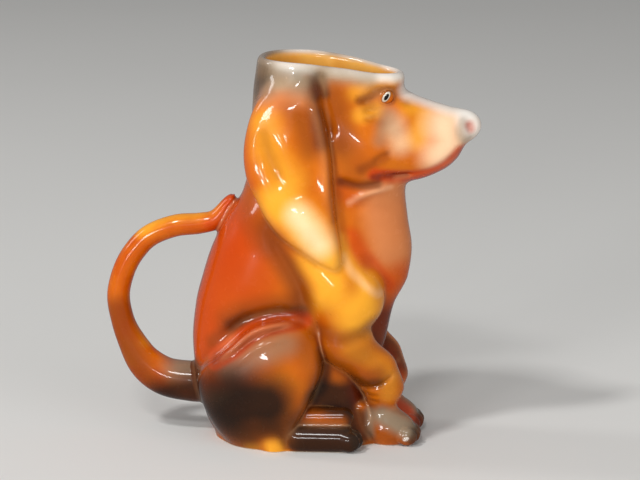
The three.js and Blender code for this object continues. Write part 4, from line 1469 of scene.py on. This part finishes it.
class Nodes:
    """Adds nodes to a tree in short calls."""

    def __init__(self, tree: bpy.types.NodeTree) -> None:
        """Keeps the tree.

        Args:
            tree: The tree to add to.
        """
        self.tree = tree

    def add(self, kind: str, inputs: dict | None = None, **settings: object) -> bpy.types.Node:
        """Adds a node.

        Args:
            kind: The node's type name.
            inputs: A value or another node's output for each input, by its name or number.
            settings: The node's own settings.

        Returns:
            The node.
        """
        node = self.tree.nodes.new(kind)
        for name, value in settings.items():
            setattr(node, name, value)
        for name, value in (inputs or {}).items():
            if isinstance(value, bpy.types.NodeSocket):
                self.tree.links.new(value, node.inputs[name])
            else:
                node.inputs[name].default_value = value
        return node

    def math(self, kind: str, a: object, b: object = 0.0, c: object = 0.0, clamp: bool = False) -> object:
        """Adds a Math node and gives its output."""
        return self.add("ShaderNodeMath", {0: a, 1: b, 2: c}, operation=kind, use_clamp=clamp).outputs[0]

    def vector(self, kind: str, a: object, b: object = (0, 0, 0), output: int = 0) -> object:
        """Adds a Vector Math node and gives one of its outputs."""
        return self.add("ShaderNodeVectorMath", {0: a, 1: b}, operation=kind).outputs[output]

    def attribute(self, name: str) -> object:
        """Adds an Attribute node and gives its value."""
        return self.add("ShaderNodeAttribute", attribute_name=name).outputs["Fac"]

    def mix(self, factor: object, a: object, b: object, blend: str = "MIX") -> object:
        """Adds a colour Mix node and gives its output."""
        settings = {"data_type": "RGBA", "blend_type": blend, "clamp_factor": True}
        return self.add("ShaderNodeMix", {0: factor, 6: a, 7: b}, **settings).outputs[2]

    def noise(self, place: object, scale: float, detail: float = 2.0) -> object:
        """Adds a Noise node that reads millimetres and gives its value."""
        return self.add("ShaderNodeTexNoise", {"Vector": place, "Scale": scale, "Detail": detail}).outputs[0]


def blank_material(name: str) -> tuple[bpy.types.Material, Nodes]:
    """Makes a material with an empty node tree.

    Args:
        name: The material's name.

    Returns:
        The material, and what adds nodes to its tree.
    """
    material = bpy.data.materials.new(name)
    material.use_nodes = True
    material.node_tree.nodes.clear()
    return material, Nodes(material.node_tree)


def placed(name: str, data: bpy.types.ID) -> bpy.types.Object:
    """Makes an object of a mesh, lamp or camera and puts it in the scene.

    Args:
        name: The object's name.
        data: The mesh, lamp or camera.

    Returns:
        The object.
    """
    thing = bpy.data.objects.new(name, data)
    bpy.context.scene.collection.objects.link(thing)
    return thing


@dataclass(frozen=True)
class Glaze:
    """Airbrushed colour under a clear, glossy glaze.

    The sizes are in millimetres. Clouding breaks up the edge of each colour, spatter gives it the
    airbrush's fine drops, and peel is how high the glaze's own ripple stands.
    """

    name: str
    ground: Tint = Tint.GROUND
    clouding: float = 0.9
    cloud_size: float = 7.0
    cloud_contrast: Place = (1.6, -0.55)
    spatter: float = 0.35
    drop_scale: float = 2.2
    pooling: float = 0.75
    thinning: float = 0.16
    inside_scale: float = 0.12
    depth_scale: float = 0.09
    depth_contrast: Place = (0.5, -0.1)
    peel: float = 0.012
    peel_size: float = 2.6
    drop_rise: float = 0.12
    roughness: Place = (0.2, 0.32)
    sheen_scale: float = 0.3
    bare_roughness: float = 0.8
    bare_rise: Place = (0.35, 0.1)
    coat: float = 0.65
    coat_roughness: float = 0.045
    coat_ior: float = 1.42
    ior: float = 1.5
    specular: float = 0.1
    eye: Point | None = None
    eye_tilt: float = 56.0
    white_half: Point = (2.0, 3.5, 0.98)
    rim_half: Point = (2.3, 3.5, 1.2)
    rim_strength: float = 0.75
    pupil_half: Point = (1.3, 3.0, 0.62)
    pupil_ahead: float = 0.15
    pupil_turn: float = 2.0
    eye_edges: Point = (0.14, 0.2, 0.16)
    chip: Point | None = None
    chip_half: Point = (1.0, 1.8, 0.7)
    chip_tilt: float = 20.0
    chip_edge: float = 0.4
    chip_contrast: Place = (5.0, -1.9)

    def spot(self, n: Nodes, place: object, centre: Point, half: Point, tilt: float, edge: float) -> object:
        """A mask in the shape of an ellipsoid.

        Args:
            n: The tree.
            place: Coordinates in millimetres.
            centre: The ellipsoid's middle.
            half: Its half sizes.
            tilt: Degrees that its front rises by.
            edge: How soft its edge is, as a share of its size.

        Returns:
            The mask's output.
        """
        angle = {"Vector": n.vector("SUBTRACT", place, centre), "Angle": math.radians(tilt)}
        turned = n.add("ShaderNodeVectorRotate", angle, rotation_type="Y_AXIS").outputs[0]
        length = n.vector("LENGTH", n.vector("DIVIDE", turned, half), output=1)
        ends = {0: length, 1: 1.0 + edge, 2: 1.0 - edge}
        return n.add("ShaderNodeMapRange", ends, interpolation_type="SMOOTHSTEP").outputs[0]

    def sprayed(self, n: Nodes, place: object, drops: object) -> object:
        """Lays the airbrushed colours, painted shade and highlights included, on the ground colour.

        Args:
            n: The tree.
            place: Coordinates in millimetres.
            drops: Fine noise for the airbrush's drops.

        Returns:
            The colour's output.
        """
        cloud = n.noise(place, 1 / self.cloud_size, 4)
        patchy = n.math("MULTIPLY_ADD", cloud, *self.cloud_contrast, True)
        colour = n.mix(patchy, paint(self.ground), paint(Tint.GROUND_PALE))
        cloudy = n.math("MULTIPLY", n.math("SUBTRACT", cloud, 0.5), self.clouding)
        broken = n.math("MULTIPLY_ADD", n.math("SUBTRACT", drops, 0.5), self.spatter, cloudy)
        for pigment in Pigment:
            amount = n.attribute(pigment.name.lower())
            edge = n.math("MULTIPLY", amount, n.math("SUBTRACT", 1.0, amount))
            spattered = n.math("MULTIPLY_ADD", broken, edge, amount, True)
            colour = n.mix(spattered, colour, paint(pigment))
        return colour

    def fired(self, n: Nodes, place: object, colour: object) -> object:
        """Darkens the glaze where it pools, thins it on edges, and colours the hollow.

        Args:
            n: The tree.
            place: Coordinates in millimetres.
            colour: The airbrushed colour.

        Returns:
            The colour's output.
        """
        pooled = n.math("MULTIPLY", n.attribute("pool"), self.pooling)
        colour = n.mix(pooled, colour, paint(Tint.POOLED), "MULTIPLY")
        thinned = n.math("MULTIPLY", n.attribute("thin"), self.thinning)
        colour = n.mix(thinned, colour, paint(Tint.THIN), "SCREEN")
        inner = n.mix(n.noise(place, self.inside_scale, 3), paint(Tint.INSIDE), paint(Tint.INSIDE_PALE))
        return n.mix(n.attribute("inside"), colour, inner)

    def eyed(self, n: Nodes, place: object, colour: object) -> object:
        """Paints the eyes.

        Args:
            n: The tree.
            place: Coordinates in millimetres, with Y made positive.
            colour: The colour under them.

        Returns:
            The colour's output.
        """
        x, y, z = self.eye
        white_edge, rim_edge, pupil_edge = self.eye_edges
        white = self.spot(n, place, self.eye, self.white_half, self.eye_tilt, white_edge)
        rim = self.spot(n, place, self.eye, self.rim_half, self.eye_tilt, rim_edge)
        middle, tilt = (x + self.pupil_ahead, y, z), self.eye_tilt + self.pupil_turn
        pupil = self.spot(n, place, middle, self.pupil_half, tilt, pupil_edge)
        colour = n.mix(n.math("MULTIPLY", rim, self.rim_strength), colour, paint(Tint.EYE_RIM))
        colour = n.mix(white, colour, paint(Tint.EYE_WHITE))
        return n.mix(pupil, colour, paint(Tint.PUPIL))

    def material(self, shift: float) -> bpy.types.Material:
        """Builds the material.

        Args:
            shift: How far the model's middle is from the clay's own zero along X, in millimetres.

        Returns:
            The material.
        """
        material, n = blank_material(self.name)
        coordinates = n.add("ShaderNodeTexCoord").outputs["Object"]
        scaled = {"Vector": coordinates, "Location": (-shift, 0, 0), "Scale": (1000, 1000, 1000)}
        place = n.add("ShaderNodeMapping", scaled).outputs[0]
        drops = n.noise(place, self.drop_scale, 1)
        colour = self.fired(n, place, self.sprayed(n, place, drops))
        x, y, z = n.add("ShaderNodeSeparateXYZ", {0: place}).outputs
        if self.eye:
            both = n.add("ShaderNodeCombineXYZ", {0: x, 1: n.math("ABSOLUTE", y), 2: z}).outputs[0]
            colour = self.eyed(n, both, colour)
        if self.chip:
            chip = self.spot(n, place, self.chip, self.chip_half, self.chip_tilt, self.chip_edge)
            broken = n.math("MULTIPLY", chip, n.math("MULTIPLY_ADD", drops, *self.chip_contrast, True))
            colour = n.mix(broken, colour, paint(Tint.CHIP))
        depth = n.math("MULTIPLY_ADD", n.noise(place, self.depth_scale, 3), *self.depth_contrast, True)
        colour = n.mix(depth, colour, paint(Tint.DEPTH), "MULTIPLY")
        bare = n.add("ShaderNodeMapRange", {0: z, 1: self.bare_rise[0], 2: self.bare_rise[1]}).outputs[0]
        colour = n.mix(bare, colour, n.mix(drops, paint(Tint.BISCUIT), paint(Tint.BISCUIT_DARK)))
        low, high = self.roughness
        sheen = n.math("MULTIPLY_ADD", n.noise(place, self.sheen_scale, 3), high - low, low)
        rough = n.math("MAXIMUM", sheen, n.math("MULTIPLY", bare, self.bare_roughness))
        ripple = n.math("MULTIPLY_ADD", drops, self.drop_rise, n.noise(place, 1 / self.peel_size, 2))
        heights = {"Strength": 1.0, "Distance": self.peel * METRES, "Height": ripple}
        bump = n.add("ShaderNodeBump", heights).outputs[0]
        shader = n.add("ShaderNodeBsdfPrincipled", {
            "Base Color": colour, "Roughness": rough, "Normal": bump, "Coat Normal": bump,
            "IOR": self.ior, "Specular IOR Level": self.specular,
            "Coat Weight": self.coat, "Coat Roughness": self.coat_roughness, "Coat IOR": self.coat_ior,
        })
        n.add("ShaderNodeOutputMaterial", {0: shader.outputs[0]})
        return material


# Pieces


@dataclass
class Finisher:
    """Makes Blender objects from the clay's parts, and gives each its colours."""

    casting: Casting
    cutter: Cutter
    shift: float
    pool_reach: float = 1.6
    thin_depth: float = 1.2
    thin_gain: float = 1.6
    thin_from: float = 1.0
    facing_probe: float = 0.5
    facing_full: float = 0.25
    inside_drop: float = 0.6
    inside_fade: float = 1.6
    inside_depth: float = 2.0
    lip_drop: float = 4.4
    lip_fade: float = 3.6
    lip_strength: float = 0.95

    def attributes(self, mesh: bpy.types.Mesh, p: Array, outward: Array | None) -> None:
        """Stores the colours of each point in the mesh.

        Args:
            mesh: The mesh.
            p: Its points.
            outward: Its outward directions, or nothing for the tail.
        """
        shares = {Where.TAIL: np.ones(len(p))} if outward is None else self.casting.shares(p)
        values = {pigment.name.lower(): cover for pigment, cover in sprayed(p, shares).items()}
        values.update(pool=np.zeros(len(p)), thin=np.zeros(len(p)), inside=np.zeros(len(p)))
        if outward is not None:
            open_air = self.cutter.field(p + outward * self.pool_reach)
            values["pool"] = smooth(1 - open_air / self.pool_reach)
            depth = -self.cutter.field(p - outward * self.thin_depth) / self.thin_depth
            values["thin"] = smooth((1 - depth) * self.thin_gain) * (p[:, 2] > self.thin_from)
            below_rim = self.casting.trunk.rim_line(p[:, 0]) - p[:, 2]
            here = self.casting.cavity(folded(p))
            further = self.casting.cavity(folded(p + outward * self.facing_probe))
            facing = smooth((here - further) / self.facing_full)
            facing = facing * smooth((below_rim - self.inside_drop) / self.inside_fade)
            values["inside"] = facing * (np.abs(here) < self.inside_depth)
            lip = smooth((self.lip_drop - below_rim) / self.lip_fade)
            values["ivory"] = 1 - (1 - values["ivory"]) * (1 - self.lip_strength * lip)
        for name, value in values.items():
            mesh.attributes.new(name, "FLOAT", "POINT").data.foreach_set("value", value.astype(np.float32))

    def piece(self, name: str, cut: tuple[Array, Array, dict[Part, Array]], part: Part) -> bpy.types.Object:
        """Makes one part's object.

        Args:
            name: The object's name.
            cut: The clay's points, outward directions and triangles.
            part: The part's label.

        Returns:
            The object.
        """
        points, outward, parts = cut
        used, faces = np.unique(parts[part], return_inverse=True)
        faces = faces.reshape(-1, 3)
        p, directions = points[used], outward[used]
        mesh = bpy.data.meshes.new(name)
        mesh.vertices.add(len(p))
        co = (p + np.array((self.shift, 0, 0))) * METRES
        mesh.vertices.foreach_set("co", co.astype(np.float32).ravel())
        mesh.loops.add(len(faces) * 3)
        mesh.loops.foreach_set("vertex_index", faces.astype(np.int32).ravel())
        mesh.polygons.add(len(faces))
        mesh.polygons.foreach_set("loop_start", np.arange(0, len(faces) * 3, 3, dtype=np.int32))
        mesh.polygons.foreach_set("use_smooth", np.ones(len(faces), bool))
        mesh.update(calc_edges=True)
        mesh.validate()
        self.attributes(mesh, p, directions)
        mesh.normals_split_custom_set_from_vertices([Vector(d) for d in directions])
        log.info("%s: %d triangles", name, len(faces))
        return placed(name, mesh)


@dataclass
class Handle:
    """The tail, swept along its spine with Geometry Nodes."""

    tail: Tail
    shift: float

    def tree(self) -> bpy.types.NodeTree:
        """Builds the tree that sweeps an oval along the spine.

        Returns:
            The tree.
        """
        tree = bpy.data.node_groups.new("tail sweep", "GeometryNodeTree")
        tree.interface.new_socket("Geometry", in_out="OUTPUT", socket_type="NodeSocketGeometry")
        for name, kind in (
            ("Geometry", "NodeSocketGeometry"), ("Half thickness", "NodeSocketFloat"),
            ("Half width", "NodeSocketFloat"), ("Sides", "NodeSocketInt"), ("Glaze", "NodeSocketMaterial"),
        ):
            tree.interface.new_socket(name, in_out="INPUT", socket_type=kind)
        n = Nodes(tree)
        sizes = n.add("NodeGroupInput").outputs
        swell = n.add("GeometryNodeInputNamedAttribute", {"Name": "swell"}, data_type="FLOAT").outputs[0]
        curve = n.add("GeometryNodeMeshToCurve", {"Mesh": sizes["Geometry"]}).outputs[0]
        radius = n.math("MULTIPLY", swell, sizes["Half thickness"])
        unit = {"Resolution": sizes["Sides"], "Radius": 1.0}
        circle = n.add("GeometryNodeCurvePrimitiveCircle", unit).outputs[0]
        swept = {"Curve": curve, "Profile Curve": circle, "Scale": radius, "Fill Caps": True}
        tube = n.add("GeometryNodeCurveToMesh", swept).outputs[0]
        flatter = n.math("DIVIDE", sizes["Half width"], sizes["Half thickness"])
        ratio = n.math("DIVIDE", flatter, n.math("SQRT", swell))
        place = n.add("GeometryNodeInputPosition").outputs[0]
        stretch = n.add("ShaderNodeCombineXYZ", {0: 1.0, 1: ratio, 2: 1.0}).outputs[0]
        moved = {"Geometry": tube, "Position": n.vector("MULTIPLY", place, stretch)}
        tube = n.add("GeometryNodeSetPosition", moved).outputs[0]
        tube = n.add("GeometryNodeSetShadeSmooth", {"Geometry": tube}).outputs[0]
        whole = n.add("GeometryNodeRealizeInstances", {"Geometry": tube}).outputs[0]
        dressed = n.add("GeometryNodeSetMaterial", {"Geometry": whole, "Material": sizes["Glaze"]}).outputs[0]
        n.add("NodeGroupOutput", {0: dressed})
        return tree

    def spine(self) -> bpy.types.Object:
        """Makes the tail's middle line, an open chain of edges that knows how thick the tail is.

        Returns:
            The line's object.
        """
        path = self.tail.path
        mesh = bpy.data.meshes.new("tail spine")
        corners = [((x + self.shift) * METRES, 0.0, z * METRES) for x, z in path]
        mesh.from_pydata(corners, [(i, i + 1) for i in range(len(path) - 1)], [])
        swell = mesh.attributes.new("swell", "FLOAT", "POINT")
        swell.data.foreach_set("value", self.tail.path_swell.astype(np.float32))
        return placed("tail spine", mesh)

    def build(self, finisher: Finisher, glaze: bpy.types.Material) -> bpy.types.Object:
        """Sweeps the tail and turns it into a plain mesh.

        Args:
            finisher: Gives the tail its colours.
            glaze: Its material.

        Returns:
            The tail's object.
        """
        spine = self.spine()
        sweep = spine.modifiers.new("sweep", "NODES")
        sweep.node_group = self.tree()
        values = {
            "Half thickness": self.tail.half_thick * METRES, "Half width": self.tail.half_width * METRES,
            "Sides": self.tail.sides, "Glaze": glaze,
        }
        for item in sweep.node_group.interface.items_tree:
            if item.name in values:
                sweep[item.identifier] = values[item.name]
        bpy.context.view_layer.update()
        swept = spine.evaluated_get(bpy.context.evaluated_depsgraph_get())
        mesh = bpy.data.meshes.new_from_object(swept)
        spine.modifiers.remove(sweep)
        bpy.data.objects.remove(spine)
        mesh.name = "tail"
        co = np.zeros(len(mesh.vertices) * 3, np.float32)
        mesh.vertices.foreach_get("co", co)
        p = co.reshape(-1, 3) / METRES - np.array((self.shift, 0, 0))
        finisher.attributes(mesh, p, None)
        log.info("tail: %d faces", len(mesh.polygons))
        return placed("tail", mesh)


@dataclass(frozen=True)
class Lamp:
    """A soft lamp that faces the pitcher.

    It stands azimuth degrees to the right of straight in front of the near side, and elevation degrees
    above the floor. Its size is its width and height in metres, its level is the brightness that it gives
    a white surface that faces it, and seen says whether the glaze mirrors it.
    """

    name: str
    azimuth: float
    elevation: float
    size: Place
    level: float
    seen: bool = True


LAMPS = (
    Lamp("window lamp", -25, 10, (0.36, 0.36), 0.28),
    Lamp("top lamp", -38, 54, (0.22, 0.27), 0.34),
    Lamp("side lamp", -100, 30, (0.31, 0.67), 0.15),
    Lamp("fill lamp", 45, 16, (1.5, 0.9), 0.28, seen=False),
    Lamp("foot lamp", -5, 39, (0.36, 0.2), 0.2),
    Lamp("flank lamp", -28, 0, (0.22, 0.1), 0.08),
    Lamp("haunch lamp", -4, 10, (0.3, 0.08), 0.1),
)


def toward(azimuth: float, elevation: float) -> Vector:
    """The direction from the pitcher at an azimuth and elevation in degrees."""
    a, e = math.radians(azimuth), math.radians(elevation)
    return Vector((math.sin(a) * math.cos(e), -math.cos(a) * math.cos(e), math.sin(e)))


@dataclass
class Studio:
    """A plain pale floor, soft lamps and the camera."""

    aim: Point = (9.36, 0.0, 67.0)
    azimuth: float = 6.0
    elevation: float = 11.5
    focal_pixels: float = 2600.0
    image_width: float = 640.0
    sensor_width: float = 36.0
    distance: float = 872.48
    half_floor: float = 9.0
    floor_cloud_scale: float = 3.0
    floor_roughness: float = 0.85
    floor_specular: float = 0.2
    sky: float = 0.24
    lamp_distance: float = 2.0
    lamp_aim: Point = (0.0, 0.0, 0.065)

    def light(self, lamp: Lamp) -> None:
        """Adds a lamp.

        Args:
            lamp: The lamp.
        """
        data = bpy.data.lights.new(lamp.name, "AREA")
        data.shape = "RECTANGLE"
        data.size, data.size_y = lamp.size
        data.energy = lamp.level * math.pi**2 * self.lamp_distance**2
        thing = placed(lamp.name, data)
        away = toward(lamp.azimuth, lamp.elevation)
        thing.location = away * self.lamp_distance + Vector(self.lamp_aim)
        thing.rotation_euler = away.to_track_quat("Z", "Y").to_euler()
        thing.visible_camera = False
        thing.visible_glossy = lamp.seen

    def lay_floor(self) -> None:
        """Adds the floor, which the glaze doesn't mirror."""
        half = self.half_floor
        corners = [(-half, -half, 0), (half, -half, 0), (half, half, 0), (-half, half, 0)]
        mesh = bpy.data.meshes.new("floor")
        mesh.from_pydata(corners, [], [(0, 1, 2, 3)])
        floor = placed("floor", mesh)
        floor.visible_glossy = False
        material, n = blank_material("pale floor")
        place = n.add("ShaderNodeTexCoord").outputs["Object"]
        cloud = n.noise(place, self.floor_cloud_scale, 2)
        shader = n.add("ShaderNodeBsdfPrincipled", {
            "Base Color": n.mix(cloud, paint(Tint.FLOOR), paint(Tint.FLOOR_DARK)),
            "Roughness": self.floor_roughness, "Specular IOR Level": self.floor_specular,
        })
        n.add("ShaderNodeOutputMaterial", {0: shader.outputs[0]})
        mesh.materials.append(material)

    def stand_camera(self) -> None:
        """Adds the camera at the photograph's viewing angle."""
        data = bpy.data.cameras.new("camera")
        data.sensor_width = self.sensor_width
        data.lens = self.focal_pixels * self.sensor_width / self.image_width
        camera = placed("camera", data)
        away = toward(self.azimuth, self.elevation)
        camera.location = (Vector(self.aim) + away * self.distance) * METRES
        camera.rotation_euler = away.to_track_quat("Z", "Y").to_euler()
        bpy.context.scene.camera = camera

    def build(self) -> None:
        """Adds the floor, the world, the lamps and the camera."""
        scene = bpy.context.scene
        scene.view_settings.view_transform = "Standard"
        self.lay_floor()
        world = bpy.data.worlds.new("studio")
        world.use_nodes = True
        background = world.node_tree.nodes["Background"]
        background.inputs[0].default_value = (1.0, 1.0, 1.0, 1.0)
        background.inputs[1].default_value = self.sky
        scene.world = world
        for lamp in LAMPS:
            self.light(lamp)
        self.stand_camera()


GLAZES = {
    Where.BODY: Glaze("body glaze"),
    Where.EAR: Glaze("ear glaze"),
    Where.LEG: Glaze("leg glaze", chip=(37.0, -15.0, 3.0)),
    Where.FOOT: Glaze("foot glaze", peel=0.02),
    Where.TAIL: Glaze("tail glaze", ground=Tint.TAIL_GROUND),
}
NODES = {
    Part.BODY: "body_shell",
    Part.LEFT_EAR: "left_ear",
    Part.RIGHT_EAR: "right_ear",
    Part.LEFT_FORELEG: "left_foreleg",
    Part.RIGHT_FORELEG: "right_foreleg",
    Part.LEFT_HIND_FOOT: "left_hind_foot",
    Part.RIGHT_HIND_FOOT: "right_hind_foot",
}


def fit(piece: bpy.types.Object, node: str) -> None:
    """Tells the frame what a piece rides on, and hides the node that it stands for.

    Args:
        piece: The piece.
        node: The node.
    """
    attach(piece, "root")
    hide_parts(node)


def main() -> None:
    """Builds the pitcher and its studio."""
    logging.basicConfig(level=logging.INFO, format="%(message)s")
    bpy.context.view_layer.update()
    Studio().build()
    casting = Casting()
    cutter = Cutter(casting)
    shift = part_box("tail_handle")[0][0] / METRES - casting.tail.reach()
    log.info("the clay moves by %.3f mm along X", shift)
    finisher = Finisher(casting, cutter, shift)
    cut = cutter.cut()
    eye_x, eye_z = casting.head.eye
    glazes = GLAZES | {Where.BODY: replace(GLAZES[Where.BODY], eye=(eye_x, casting.eye_side, eye_z))}
    materials = {where: glaze.material(shift) for where, glaze in glazes.items()}
    for part, node in NODES.items():
        where = next(w for w in Where if part in w.value)
        piece = finisher.piece("glazed_" + node, cut, part)
        piece.data.materials.append(materials[where])
        fit(piece, node)
    tail = Handle(casting.tail, shift).build(finisher, materials[Where.TAIL])
    fit(tail, "tail_handle")


if __name__ == "__main__":
    main()
